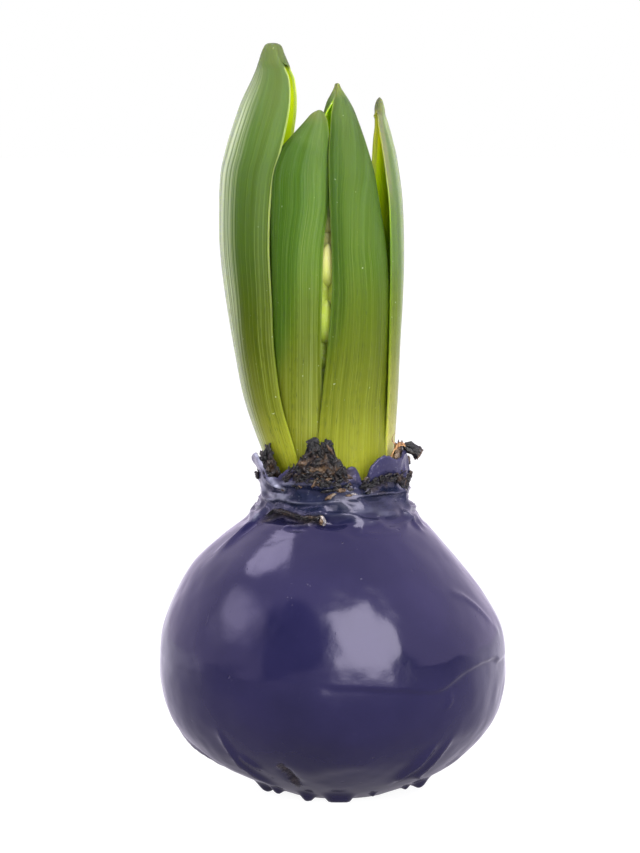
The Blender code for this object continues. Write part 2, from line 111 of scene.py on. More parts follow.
# Each leaf's level cuts: (height, centre x, centre y, outer radius, one margin, the other).
LEAVES = {
    "leaf_left": [
        (LEAF_FOOT, 0.4, 0, 11, 104, 236), (56.8, 0.65, 0, 10.95, 103, 236.5),
        (60.2, -0.4, 0.1, 11, 99, 239), (64.4, -2.6, 0.2, 10.7, 91, 245),
        (72.8, -7, 0.5, 9.2, 82, 254.5), (82.1, -10.1, 0.8, 8, 74, 265),
        (91.2, -12, 0.9, 7.56, 68, 276), (102.2, -13.2, 1, 7.53, 62, 282),
        (113.2, -13.1, 1.1, 7.6, 57, 287), (118.7, -12.2, 1.2, 7.4, 52, 292),
        (124.2, -11.4, 1.3, 6.5, 44, 300), (127.9, -11, 1.4, 5.6, 37, 307),
        (131.5, -10.6, 1.5, 4.25, 28, 312), (133.5, -10.7, 1.6, 3.25, 14, 314),
        (134.4, -10.72, 1.6, 2.92, -36, 310), (135.2, -10.75, 1.6, 2.6, -48, 306),
        (136.4, -10.8, 1.6, 2.15, -53, 304), (137.2, -10.75, 1.6, 1.85, -50, 303),
        (137.8, -10.75, 1.6, 1.5, -53, 303), (138.1, -10.8, 1.6, 1.05, -54, 303),
    ],
    "leaf_front_left": [
        (LEAF_FOOT, 0.4, 0, 9.15, 165, 260), (57.4, 0.3, 0, 9.2, 166, 260.5),
        (63.6, -1.3, -0.3, 9.3, 172, 266.5), (72.8, -3, -1, 8.4, 178, 277.6),
        (82.1, -4.1, -1.8, 7.65, 180, 286), (91.2, -4.3, -2.5, 7.4, 179, 289),
        (101, -4.8, -2.9, 7, 177, 297), (109.8, -4.9, -2.7, 6.85, 176, 311),
        (114.6, -4.8, -2.7, 6.5, 176, 313), (117.7, -4.4, -2.9, 5.85, 176, 312.5),
        (119.6, -3.9, -3.4, 5.15, 174, 312), (121.4, -3.1, -4, 4.35, 170, 305),
        (123.9, -2.5, -5, 2.65, 160, 307), (125.3, -2.45, -5.3, 1.5, 150, 315),
        (125.85, -2.35, -5.4, 0.9, 150, 320), (126.05, -2.3, -5.4, 0.5, 150, 320),
    ],
    "leaf_front_right": [
        (LEAF_FOOT, 0.75, -0.1, 9.3, 254.8, 357), (57.4, 0.85, -0.2, 9.3, 254, 357),
        (60.2, 0.9, -0.2, 9.65, 252.1, 357), (63.6, 0.85, -0.1, 9.95, 250.7, 356),
        (72.8, 1.3, -0.8, 9.35, 249.9, 362), (82.1, 2.2, -1.7, 8.75, 250.4, 368),
        (91, 3, -2.6, 8, 247.4, 370), (97, 3.3, -3.2, 7.3, 242.5, 372),
        (101.9, 3.3, -3.8, 6.7, 239, 375), (109.5, 2.7, -4.1, 5.9, 239.5, 405),
        (115, 2.2, -4.2, 5.45, 241, 455), (119.6, 1.8, -4.3, 4.6, 240, 500),
        (122.6, 1.65, -4.5, 3.8, 239, 530), (124.4, 1.5, -4.6, 3.3, 238.5, 555),
        (125.7, 1.35, -4.7, 2.95, 240, 568), (126.7, 1.25, -4.75, 2.6, 243, 582),
        (127.9, 1.1, -4.8, 2.05, 246, 598), (128.8, 1.05, -4.8, 1.5, 249, 606),
        (130.1, 0.95, -4.9, 0.72, 252, 610), (130.9, 0.9, -4.95, 0.42, 254, 612),
    ],
    "leaf_right": [
        (LEAF_FOOT, 0.4, 0, 10.9, -22, 92), (57.4, 0.6, 0, 11, -24, 92),
        (64.3, 1.3, -0.1, 10.5, -31, 92), (72.8, 3, -0.2, 9.2, -35.4, 93),
        (82.1, 4.65, -0.5, 8, -40.3, 95), (91, 6.1, -0.8, 7, -46.7, 97),
        (100.4, 7.2, -0.9, 6.1, -52, 98), (109.5, 7.9, -0.8, 5.1, -59, 100),
        (116.7, 8.3, -0.5, 3.75, -68.5, 103), (120.5, 8.37, -0.3, 2.8, -74, 105),
        (123.4, 8.4, -0.1, 1.95, -82, 104), (124.6, 8.55, 0, 1.42, -92, 124),
        (125.3, 8.72, 0, 1.04, -106, 190), (126.2, 8.68, 0, 0.98, -116, 232),
        (127, 8.63, 0, 0.82, -118, 236), (127.8, 8.66, 0, 0.54, -118, 236),
        (128.2, 8.68, 0, 0.25, -118, 236),
    ],
    "leaf_back": [
        (LEAF_FOOT, 0.4, 0, 9.15, 2, 160), (57.4, 0.55, 0, 9.15, 2, 161),
        (64.3, 0.3, -0.1, 8.7, 6, 163), (72.8, -0.3, 0.2, 7.6, 16, 160),
        (82.1, -0.5, 0.8, 7.15, 38, 152), (91, -0.5, 1.2, 6.85, 41, 150),
        (101.9, -0.3, 1.5, 6.4, 30, 150), (110.8, 0, 1.8, 5.4, 28, 152),
        (116.7, 0.2, 2, 4, 25, 155), (120.2, 0.4, 2.1, 2.5, 10, 170),
        (121.8, 0.5, 2.2, 1.4, 0, 180), (122.5, 0.5, 2.2, 0.7, 0, 180),
    ],
}
# How far each margin hugs the leaf within, at the start and at the end, and the heights
# between which that stops.
HUG = {
    "leaf_left": (0.3, 1, 112, 124),
    "leaf_front_left": (0.3, 1, 106, 116),
    "leaf_front_right": (0, 0.3, 100, 110),
    "leaf_right": (1, 0.3, 62, 78),
    "leaf_back": (0.5, 0.5, 106, 116),
}
# A soft crease up a leaf: ([(height, share of the way across), ...], rise, width).
CREASES = {
    "leaf_front_left": (
        [(80, 0.56), (88, 0.6), (99.4, 0.665), (110.4, 0.727), (119.6, 0.856)],
        0.34,
        1.5,
    ),
    "leaf_front_right": ([(84, 0.19), (92, 0.17), (110, 0.15), (120, 0.11)], 0.36, 1.3),
}
# The flower spike: (height, centre x, centre y, reach).
SPIKE = [
    (LEAF_FOOT, 0.2, -0.4, 0), (79, -0.4, -1.5, 4), (87, -0.5, -1.7, 6), (98, -0.5, -1.7, 6.3),
    (105, -0.5, -1.8, 5), (111, -0.5, -1.9, 2.6),
]
# Rings of buds: (height, how many, first azimuth, size).
WHORLS = [
    (82.4, 6, 296, 0.9), (87.6, 6, 266, 1), (92.8, 6, 296, 0.95), (98, 6, 266, 0.95),
    (102.8, 5, 300, 0.82), (106.6, 4, 266, 0.7), (110, 1, 0, 0.6),
]

# Finer forms that only the looks need. Each line goes once round from its first azimuth.
# Where an upper coat of wax ends over a lower one: (azimuth, height).
DIP_LINE = [
    (10, 26.4), (30, 28), (70, 28.5), (120, 25), (170, 26.5), (215, 25.5), (245, 24.6), (272, 24.3),
    (291, 23.6), (304, 22.8), (314, 24.6), (322, 26.3), (333, 26.5), (342, 25.9), (370, 26.4),
]
# The wax's torn edge: (azimuth, height).
WAX_RIM = [
    (150, 61.4), (168, 60.6), (182, 61.6), (194, 63), (200, 63.2), (206, 61.4), (212, 59.4),
    (222, 59.2), (230, 60.6), (240, 60.9), (250, 60.4), (258, 59.6), (266, 59.2), (274, 60.3),
    (280, 61.5), (285.5, 61.6), (289, 60.4), (291.5, 58.9), (294.5, 58.7), (296.5, 60.4),
    (299, 61.9), (305, 62.9), (312, 63.2), (321, 62.7), (329, 62.8), (336, 63.7), (343, 62),
    (351, 59.6), (364, 59.3), (378, 60.2), (395, 61.2), (415, 62.3), (435, 61), (458, 59.3),
    (476, 60.4), (495, 61.8), (510, 61.4),
]
# The tunic's torn edge: (azimuth, height).
TUNIC_EDGE = [
    (180, 61.4), (190, 60.6), (198, 61.4), (203, 63.6), (208, 65), (213, 63.6), (219, 61.2),
    (226, 59.9), (235, 61.4), (243, 62.6), (249, 63.9), (253, 65.6), (259, 66.4), (264, 65.9),
    (269, 66.1), (272, 64.7), (276, 62.9), (281, 61), (287, 60), (294, 58.3), (302, 58.3),
    (312, 60), (322, 61.6), (330, 63.2), (338, 65.3), (345, 63.6), (355, 61.2), (370, 61.4),
    (390, 62.9), (410, 61.2), (430, 62.4), (447, 65), (461, 62.6), (480, 61.2), (500, 63.3),
    (516, 61.2), (540, 61.4),
]
# The torn lip on the left of the shoulder: (azimuth, height).
LIP = [
    (200, 51.4), (214, 52.1), (222, 53.4), (235, 53.2), (246, 52.7), (254, 52.8), (262, 52.8),
    (275, 52.4), (400, 52), (560, 51.4),
]
# A fold at the left of the neck, paler along it with painted highlight, and a deep dent near the
# foot, darker inside.
LEFT_FOLD = [(206, 62.6), (212, 60.4), (219, 58.4), (224, 57.4)]
DENT = [(248, 8.6), (248.6, 7.2), (248.8, 5.6), (248, 4.4)]
# Raised seams and hollows in the wax: ([(azimuth, height), ...], width, rise).
RIDGES = [
    (DENT, 1.05, -1.1), ([(226, 14.5), (228.5, 10), (230, 6), (231, 3.2)], 0.75, 1),
    ([(231, 10.5), (238, 7.6)], 0.6, 0.6),
    ([(309, 12.6), (306, 9.6), (302, 6.6), (300, 5)], 0.75, 1),
    ([(316, 13.5), (313, 9), (311, 6.2), (318, 4.2)], 0.8, 0.85),
    ([(323, 39.2), (329.2, 38.1), (333.7, 36.1), (340.1, 32.4)], 0.6, 0.34),
    ([(340.1, 32.4), (344, 30.4)], 0.9, 0.12), ([(310, 22.6), (311, 20.6), (309, 19)], 0.45, 0.26),
    ([(303, 6.6), (307, 5.4)], 0.8, -0.6),
    ([(205, 54.8), (209, 52.4), (207, 49.6), (204, 46)], 0.8, 0.8),
    ([(211, 51.8), (205, 49), (200, 45.6)], 0.6, 0.35), (LEFT_FOLD, 0.6, 0.7),
    ([(326, 53.6), (332, 51.6), (336, 49.4)], 0.6, 0.6),
    ([(334, 60), (333, 57), (336, 54.6)], 0.6, 0.7),
    ([(268, 52.6), (280, 53), (292, 52.2)], 0.9, 0.35),
    ([(262, 50.3), (272, 49.9), (282, 49.3)], 0.8, 0.25),
    ([(150, 13), (146, 8), (148, 4)], 0.8, 0.65), ([(60, 15), (64, 9), (62, 4.2)], 0.8, 0.6),
    ([(100, 11), (104, 6)], 0.8, -0.6), ([(40, 41), (60, 39), (78, 40.4)], 0.8, 0.3),
    ([(185, 12), (190, 7), (188, 4)], 0.8, 0.6), ([(20, 12), (18, 7.5), (22, 4)], 0.8, 0.55),
]


# ------ numbers


def spline(stations, at):
    """Values on a smooth line through (place, value, ...) stations, for an array of places."""
    table = np.array(stations, float)
    places = table[:, 0]
    at = np.clip(np.asarray(at, float), places[0], places[-1])
    i = np.clip(np.searchsorted(places, at, side="right") - 1, 0, len(places) - 2)
    span = places[i + 1] - places[i]
    t = ((at - places[i]) / span)[..., None]
    before, after = np.maximum(i - 1, 0), np.minimum(i + 2, len(places) - 1)
    a, b = table[i, 1:], table[i + 1, 1:]
    slope_a = (b - table[before, 1:]) / (places[i + 1] - places[before])[..., None]
    slope_b = (table[after, 1:] - a) / (places[after] - places[i])[..., None]
    slope_a, slope_b = slope_a * span[..., None], slope_b * span[..., None]
    return (
        (2 * t**3 - 3 * t**2 + 1) * a
        + (t**3 - 2 * t**2 + t) * slope_a
        + (3 * t**2 - 2 * t**3) * b
        + (t**3 - t**2) * slope_b
    )


def value_on(stations, at):
    """The one value on a smooth line through (place, value) stations."""
    return spline(stations, at)[..., 0]


def round_line(stations, azimuth):
    """Value at each azimuth on a line given from one azimuth to the same one a turn later."""
    first = stations[0][0]
    return value_on(stations, (azimuth - first) % 360 + first)


def smooth_rows(rows, count):
    """This many rows, spaced evenly by index, on a smooth line through the given ones."""
    stations = [(i, *row) for i, row in enumerate(rows)]
    return spline(stations, np.linspace(0, len(rows) - 1, count))


def bump(distance, spread):
    return np.exp(-((distance / spread) ** 2))


def turn_between(a, b):
    return (a - b + 180) % 360 - 180


def smoothstep(low, high, value):
    t = np.clip((value - low) / (high - low), 0, 1)
    return t * t * (3 - 2 * t)


def between(value, a, b, c, d):
    """Rises from 0 at a to 1 at b, and falls from 1 at c to 0 at d."""
    return smoothstep(a, b, value) * (1 - smoothstep(c, d, value))


def lattice(i, j, k, seed):
    """A repeatable number from -1 to 1 for each whole-number place."""
    h = (i * 374761393 + j * 668265263 + k * 1442695041 + seed * 974634777) & 0xFFFFFFFF
    h = ((h ^ (h >> 13)) * 1274126177) & 0xFFFFFFFF
    h = ((h ^ (h >> 15)) * 2246822519) & 0xFFFFFFFF
    return ((h ^ (h >> 16)) & 0xFFFF) / 32767.5 - 1


def rough(x, y, z, seed=0):
    """Smooth noise from about -1 to 1, for arrays of places."""
    x, y, z = np.broadcast_arrays(x, y, z)
    i, j, k = (np.floor(v).astype(np.int64) for v in (x, y, z))
    u, v, w = (f * f * f * (f * (f * 6 - 15) + 10) for f in (x - i, y - j, z - k))
    total = 0
    for a in (0, 1):
        for b in (0, 1):
            for c in (0, 1):
                share = (u if a else 1 - u) * (v if b else 1 - v) * (w if c else 1 - w)
                total = total + share * lattice(i + a, j + b, k + c, seed)
    return total


def layered(x, y, z, octaves, seed):
    """Noise with finer noise on it."""
    total, size = 0, 1
    for n in range(octaves):
        total = total + size * rough(x * 2**n, y * 2**n, z * 2**n, seed + 17 * n)
        size *= 0.5
    return total


def swell(azimuth, height):
    return sum(
        depth * bump(turn_between(azimuth, at), wide) * bump(height - level, tall)
        for at, level, wide, tall, depth in SWELLS
    )


def circle(count):
    """Angles evenly round a turn."""
    return np.linspace(0, math.tau, count, endpoint=False)


def column(values):
    return np.asarray(values)[:, None]


# ------ meshes


def linked(name, data):
    obj = bpy.data.objects.new(name, data)
    bpy.context.scene.collection.objects.link(obj)
    return obj


def mesh_object(name, points, faces):
    """A piece from points in millimetres."""
    mesh = bpy.data.meshes.new(name)
    mesh.from_pydata((np.asarray(points, float).reshape(-1, 3) * MM).tolist(), [], faces)
    mesh.validate()
    mesh.shade_smooth()
    return linked(name, mesh)


def grid_faces(rows, columns, start=0):
    """Quads between neighbouring points of rings of points, wound to face outwards."""
    i = np.arange(rows - 1)[:, None]
    j = np.arange(columns)[None, :]
    k = (j + 1) % columns
    corners = (i * columns + j, i * columns + k, (i + 1) * columns + k, (i + 1) * columns + j)
    return (np.stack(np.broadcast_arrays(*corners), -1).reshape(-1, 4) + start).tolist()


def tube_faces(rows, columns, start=0, turned=True):
    """The same with a face over each end. Turned is for rings that run the other way round."""
    faces = grid_faces(rows, columns, start)
    faces.append([start + i for i in range(columns - 1, -1, -1)])
    faces.append([start + (rows - 1) * columns + i for i in range(columns)])
    return [face[::-1] for face in faces] if turned else faces


def attribute(obj, name, values):
    layer = obj.data.attributes.new(name, "FLOAT", "POINT")
    layer.data.foreach_set("value", np.asarray(values, np.float32).ravel())


def uv_map(obj, name, per_vertex):
    layer = obj.data.uv_layers.new(name=name)
    corners = np.empty(len(obj.data.loops), np.int64)
    obj.data.loops.foreach_get("vertex_index", corners)
    layer.data.foreach_set("uv", np.asarray(per_vertex, np.float32)[corners].ravel())


def seat_piece(obj, nodes, material):
    """Makes a piece ride on the one body, stand for CAD nodes and take its finish."""
    obj.data.materials.append(material)
    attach(obj, "root")
    if nodes:
        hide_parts(*nodes)


# ------ shader nodes


class Shader:
    """The node tree of a material or a world, and short ways to add nodes to it."""

    def __init__(self, owner):
        owner.use_nodes = True
        self.owner = owner
        self.tree = owner.node_tree
        self.base = self.tree.nodes.get("Principled BSDF")

    def put(self, socket, value):
        if isinstance(value, bpy.types.NodeSocket):
            self.tree.links.new(value, socket)
        elif socket.type == "RGBA":
            socket.default_value = (*value, 1)
        else:
            socket.default_value = value

    def new(self, kind, inputs=(), **settings):
        made = self.tree.nodes.new("ShaderNode" + kind)
        for key, value in settings.items():
            setattr(made, key, value)
        for key, value in dict(inputs).items():
            self.put(made.inputs[key], value)
        return made

    def out(self, kind, inputs=(), **settings):
        return self.new(kind, inputs, **settings).outputs[0]

    def set(self, **inputs):
        for key, value in inputs.items():
            self.put(self.base.inputs[key.replace("_", " ")], value)

    def end(self, shader):
        """Ends the tree in this shader alone."""
        if self.base:
            self.tree.nodes.remove(self.base)
        self.put(self.tree.get_output_node("ALL").inputs["Surface"], shader)

    def place(self):
        return self.new("TexCoord").outputs["Object"]

    def parts(self, vector):
        return self.new("SeparateXYZ", {0: vector}).outputs

    def fact(self, name):
        """An attribute of the mesh."""
        return self.new("Attribute", attribute_name=name).outputs["Fac"]

    def math(self, operation, a, *b, clamp=False):
        inputs = dict(enumerate((a, *b)))
        return self.out("Math", inputs, operation=operation, use_clamp=clamp)

    def plus(self, a, b, clamp=False):
        return self.math("ADD", a, b, clamp=clamp)

    def times(self, first, *others):
        for other in others:
            first = self.math("MULTIPLY", first, other)
        return first

    def ease(self, value, low, high, to_low=0, to_high=1, kind="SMOOTHSTEP"):
        inputs = dict(enumerate((value, low, high, to_low, to_high)))
        return self.out("MapRange", inputs, interpolation_type=kind)

    def spread(self, noise, to_low, to_high):
        """Noise over its common range, turned into values from one to the other."""
        return self.ease(noise, 0.3, 0.7, to_low, to_high)

    def mix(self, factor, a, b):
        made = self.new("Mix", {0: factor}, data_type="RGBA")
        self.put(made.inputs[6], a)
        self.put(made.inputs[7], b)
        return made.outputs[2]

    def coats(self, colour, *layers):
        """Lays (share, colour) layers over a colour, one after the other."""
        for share, over in layers:
            colour = self.mix(share, colour, over)
        return colour

    def ramp(self, factor, stops):
        made = self.new("ValToRGB", {"Fac": factor})
        line = made.color_ramp
        line.elements.remove(line.elements[-1])
        line.elements[0].position = stops[0][0]
        line.elements[0].color = (*stops[0][1], 1)
        for at, colour in stops[1:]:
            line.elements.new(at).color = (*colour, 1)
        return made.outputs[0]

    def noise(self, vector, scale, detail=3, roughness=0.5, offset=(0, 0, 0)):
        """Noise from 0 to 1. A scale of three numbers stretches it."""
        if isinstance(scale, tuple):
            vector = self.out("Mapping", {"Vector": vector, "Scale": scale, "Location": offset})
            scale = 1
        inputs = {"Vector": vector, "Scale": scale, "Detail": detail, "Roughness": roughness}
        return self.new("TexNoise", inputs).outputs["Fac"]

    def bumps(self, *heights):
        """A chain of bumps: (height, distance in metres, strength)."""
        normal = {}
        for height, distance, strength in heights:
            inputs = {"Height": height, "Distance": distance, "Strength": strength}
            normal = {"Normal": self.out("Bump", {**inputs, **normal})}
        self.set(**normal)


def new_shader(name):
    return Shader(bpy.data.materials.new(name))


# ------ materials


def wax_material():
    """Glossy dipped wax: violet-blue, darker and bluer in the folds of the neck."""
    s = new_shader("dipped_wax")
    where = s.place()
    high = s.parts(where)[2]
    cloud = s.noise(where, 55)
    speck = s.noise(where, 1300, 2, 0.6)
    patch = s.noise(where, 330, 4, 0.6)
    scratch = s.noise(where, (900, 900, 90), 2, 0.6)
    fine = s.noise(where, 260, 4, 0.55)
    soft = s.noise(where, 90, 2)
    soot_and_shadow = s.fact("soot_and_shadow")
    body = s.mix(s.ease(cloud, 0.35, 0.65), (0.0082, 0.008, 0.0305), (0.0118, 0.0108, 0.0395))
    navy = s.mix(s.ease(patch, 0.35, 0.65), (0.004, 0.0066, 0.018), (0.012, 0.015, 0.036))
    soot_and_shadow_colour = s.ramp(
        s.noise(where, 1100, 4, 0.7),
        [(0.35, (0.004, 0.004, 0.005)), (0.55, (0.016, 0.012, 0.01)), (0.72, (0.1, 0.08, 0.07))],
    )
    neck = s.times(s.ease(high, 0.0505, 0.0545), s.ease(high, 0.061, 0.058))
    dust = s.times(s.ease(speck, 0.62, 0.74), s.ease(high, 0.052, 0.059, 0.01, 0.45))
    colour = s.coats(
        body,
        (neck, navy),
        (s.ease(high, 0.058, 0.0605), (0.0235, 0.023, 0.058)),
        (dust, (0.16, 0.16, 0.19)),
        # Paler wax: painted highlight on the fold crests and along the left fold, and pale wax at
        # the torn tip.
        (s.fact("pale_wax_and_highlight"), (0.36, 0.37, 0.46)),
        # Soot and dirt, and the painted shadow under the torn lip.
        (soot_and_shadow, soot_and_shadow_colour),
    )
    gloss = s.plus(s.spread(cloud, 0.12, 0.18), s.ease(high, 0.049, 0.055, 0, 0.1))
    s.set(
        Base_Color=colour,
        Roughness=s.plus(gloss, s.times(soot_and_shadow, 0.4), clamp=True),
        IOR=1.47,
        Specular_Tint=(0.86, 0.79, 1),
    )
    cells = s.new("TexVoronoi", {"Vector": where, "Scale": 240, "Randomness": 1})
    sparse = s.ease(s.noise(where, 60, 1), 0.5, 0.62)
    pits = s.times(s.ease(cells.outputs["Distance"], 0.1, 0.02), sparse)
    marks = s.times(s.ease(scratch, 0.7, 0.76), s.ease(soft, 0.45, 0.6))
    dirty = s.times(speck, s.plus(soot_and_shadow, s.ease(high, 0.057, 0.061, 0, 0.3)))
    s.bumps(
        (soft, 0.0012, 0.22),
        (fine, 0.00032, 0.14),
        (pits, -0.0003, 0.35),
        (marks, 0.0002, 0.5),
        (dirty, 0.0006, 0.6),
    )
    return s.owner


def leaf_material(name, look, seed):
    """Leaf skin: colour by height, veins along the leaf, a pale edge, an inside lightened with
    painted light shining through, painted shade beside a crease and a painted sheen up the back.
    """
    s = new_shader(name)
    where = s.place()
    up = s.ease(s.parts(where)[2], 0.05, 0.14, kind="LINEAR")
    flat = s.new("UVMap", uv_map="leaf").outputs[0]
    across = s.parts(flat)[0]
    inside, edge, tip, fold = (s.fact(key) for key in ("inside", "edge", "tip", "fold"))
    broad = s.noise(flat, (13, 1.6, 1), 3, 0.55, (seed, 0, 0))
    veins = s.noise(flat, (62, 1.7, 1), 4, 0.65, (seed, 0, 0))
    hair = s.noise(flat, (190, 3.5, 1), 2, 0.6, (seed, 0, 0))
    dash = s.noise(flat, (170, 64, 1), 2, 0.5, (seed, 3, 0))
    grain = s.noise(where, 1700, 1)
    mottle = s.noise(where, 700, 3, 0.6)
    # Veins show most low down, and hardly under the bloom of the tip.
    low = s.ease(up, 0.8, 0.25, 0.35, 1)
    streak = s.plus(s.spread(veins, -0.6, 0.6), s.spread(hair, -0.5, 0.5))
    # Painted shade: one side of a crease is made a deeper green, as if turned away from the light.
    crease_shade_share, crease_shade_soft, crease_shade_colour = look["fold"]
    # Painted sheen: pale lines up the back of some leaves, standing for the glancing reflection of
    # the bright surroundings.
    middle, wide, strength = look["keel"]
    near = s.ease(s.math("ABSOLUTE", s.math("SUBTRACT", across, middle)), wide, 0.25 * wide)
    lines = s.ease(streak, -0.35, 0.35, 0.25, 1)
    keel = s.times(near, lines, s.ease(up, 1, 0.8, 0, strength))
    # Fine dark dashes and pale grains on the lower half.
    some = s.times(s.ease(up, 0.62, 0.42), s.ease(up, 0.06, 0.26, 0.25, 1))
    some = s.times(some, s.ease(broad, 0.38, 0.56))
    # The hood at the tip has neither an inside nor an edge to see.
    below = s.ease(tip, look["hood"], look["hood"] + 0.5)
    rim_wide, rim_share, rim_colour, rim_low, rim_high = look["rim"]
    rim = s.ease(edge, rim_wide, 0.4 * rim_wide, 0, rim_share)
    rim = s.times(rim, s.ease(up, rim_low, rim_high))
    tip_long, tip_share, tip_colour = look["tip"]
    tipped = s.times(s.ease(tip, tip_long, 0.2, 0, tip_share), s.ease(mottle, 0.25, 0.6, 0.5, 1))
    colour = s.coats(
        s.ramp(up, look["outer"]),
        # Painted shade on one side of the crease.
        (s.ease(fold, crease_shade_soft, -crease_shade_soft, 0, crease_shade_share), crease_shade_colour),
        (s.times(s.ease(streak, 0, 0.9, 0, 0.26), low), look["pale"]),
        (s.times(s.ease(streak, 0, -0.9, 0, 0.34), low), look["deep"]),
        (s.times(s.spread(broad, 0, 0.3), s.ease(up, 0.35, 0.85)), look["bloom"]),
        # Painted sheen: pale lines up the back as a glancing reflection.
        (keel, (0.46, 0.53, 0.33)),
        (s.times(s.ease(dash, 0.585, 0.65, 0, 0.85), some), (0.03, 0.05, 0.008)),
        (s.ease(grain, 0.77, 0.81, 0, 0.5), (0.45, 0.5, 0.36)),
        # The inside, lighter higher up with painted light that shines through the leaf.
        (s.times(inside, below), s.ramp(up, look["inner"])),
        (s.times(rim, below), rim_colour),
        (tipped, tip_colour),
    )
    s.set(
        Base_Color=colour,
        Roughness=s.plus(s.spread(veins, 0.3, 0.42), s.ease(up, 0.3, 0.9, 0, 0.1)),
        IOR=1.42,
        Specular_IOR_Level=0.23,
        Specular_Tint=(1, 1, 0.42),
        Subsurface_Weight=0.55,
        Subsurface_Scale=0.0017,
        Subsurface_Radius=(0.8, 1, 0.1),
    )
    s.bumps((broad, 0.0014, 0.2), (veins, 0.0005, 0.32), (hair, 0.00014, 0.4))
    return s.owner


def tunic_material():
    """Dry tunic: brown paper going black at its torn edges, with grey flecks of wax dust that are
    also painted glints.
    """
    s = new_shader("dry_tunic")
    where = s.place()
    broad = s.noise(where, 420, 4, 0.6)
    fine = s.noise(where, 1900, 4, 0.65)
    dust = s.noise(where, 2600, 2, 0.6)
    shade = s.plus(s.fact("tone"), s.spread(broad, -0.16, 0.18))
    shade = s.plus(shade, s.spread(fine, -0.09, 0.09))
    tones = [
        (0, (0.003, 0.003, 0.0034)),
        (0.14, (0.006, 0.0054, 0.0055)),
        (0.3, (0.02, 0.0125, 0.008)),
        (0.46, (0.052, 0.029, 0.015)),
        (0.62, (0.12, 0.072, 0.036)),
        (0.76, (0.18, 0.14, 0.105)),
        (0.88, (0.15, 0.145, 0.165)),
        (1, (0.42, 0.36, 0.31)),
    ]
    # Grey flecks: wax dust, and painted glints on the crust.
    colour = s.mix(s.ease(dust, 0.64, 0.71, 0, 0.6), s.ramp(shade, tones), (0.17, 0.16, 0.18))
    s.set(Base_Color=colour, Roughness=s.spread(fine, 0.28, 0.7), IOR=1.47)
    s.bumps((broad, 0.0006, 0.5), (fine, 0.00035, 0.7))
    return s.owner


def strand_material():
    s = new_shader("dry_fibre")
    lines = s.noise(s.place(), (2600, 2600, 700), 3, 0.6)
    colour = s.ramp(
        s.ease(lines, 0.3, 0.7),
        [(0, (0.05, 0.022, 0.008)), (0.5, (0.24, 0.105, 0.035)), (1, (0.55, 0.33, 0.15))],
    )
    s.set(Base_Color=colour, Roughness=s.spread(lines, 0.35, 0.6), IOR=1.45)
    s.bumps((lines, 0.0002, 0.5))
    return s.owner


def bud_material():
    s = new_shader("closed_bud")
    where = s.place()
    rise = s.ease(s.parts(where)[2], 0.05, 0.115, kind="LINEAR")
    speck = s.noise(where, 900, 3, 0.6)
    greens = [
        (0, (0.2, 0.22, 0.05)),
        (0.35, (0.14, 0.18, 0.055)),
        (0.48, (0.34, 0.46, 0.04)),
        (0.66, (0.46, 0.56, 0.07)),
        (0.76, (0.5, 0.49, 0.17)),
        (0.82, (0.46, 0.46, 0.14)),
        (0.88, (0.16, 0.21, 0.045)),
        (1, (0.08, 0.13, 0.025)),
    ]
    colour = s.coats(
        s.ramp(rise, greens),
        # Painted shade in the grooves between the tepals.
        (s.times(s.fact("groove"), 0.7), (0.05, 0.1, 0.015)),
        (s.ease(speck, 0.45, 0.75, 0, 0.35), (0.5, 0.52, 0.3)),
    )
    s.set(
        Base_Color=colour,
        Roughness=s.spread(speck, 0.38, 0.52),
        IOR=1.42,
        Specular_IOR_Level=0.26,
        Subsurface_Weight=0.3,
        Subsurface_Scale=0.001,
        Subsurface_Radius=(0.8, 1, 0.35),
    )
    s.bumps((speck, 0.0002, 0.4))
    return s.owner


# ------ the wax coat


def from_path(azimuth, height, reach, path):
    """Distance in millimetres from a line drawn on the skin, and how far along it."""
    nearest = np.full(np.shape(azimuth), 1e9)
    share = np.zeros(np.shape(azimuth))
    legs = len(path) - 1
    for i in range(legs):
        (a0, z0), (a1, z1) = path[i], path[i + 1]
        px = np.radians(turn_between(azimuth, a0)) * reach
        py = height - z0
        dx = np.radians(a1 - a0) * reach
        dy = z1 - z0
        t = np.clip((px * dx + py * dy) / (dx * dx + dy * dy), 0, 1)
        away = np.hypot(px - t * dx, py - t * dy)
        closer = away < nearest
        nearest = np.where(closer, away, nearest)
        share = np.where(closer, (i + t) / legs, share)
    return nearest, share


def fold_wave(x, y, z):
    """The crests of the folds round the neck lie where this is nought."""
    return rough(x / 9, y / 9, z / 1.8, 21) + 0.28 * rough(x / 3.5, y / 3.5, z / 1.1, 22)


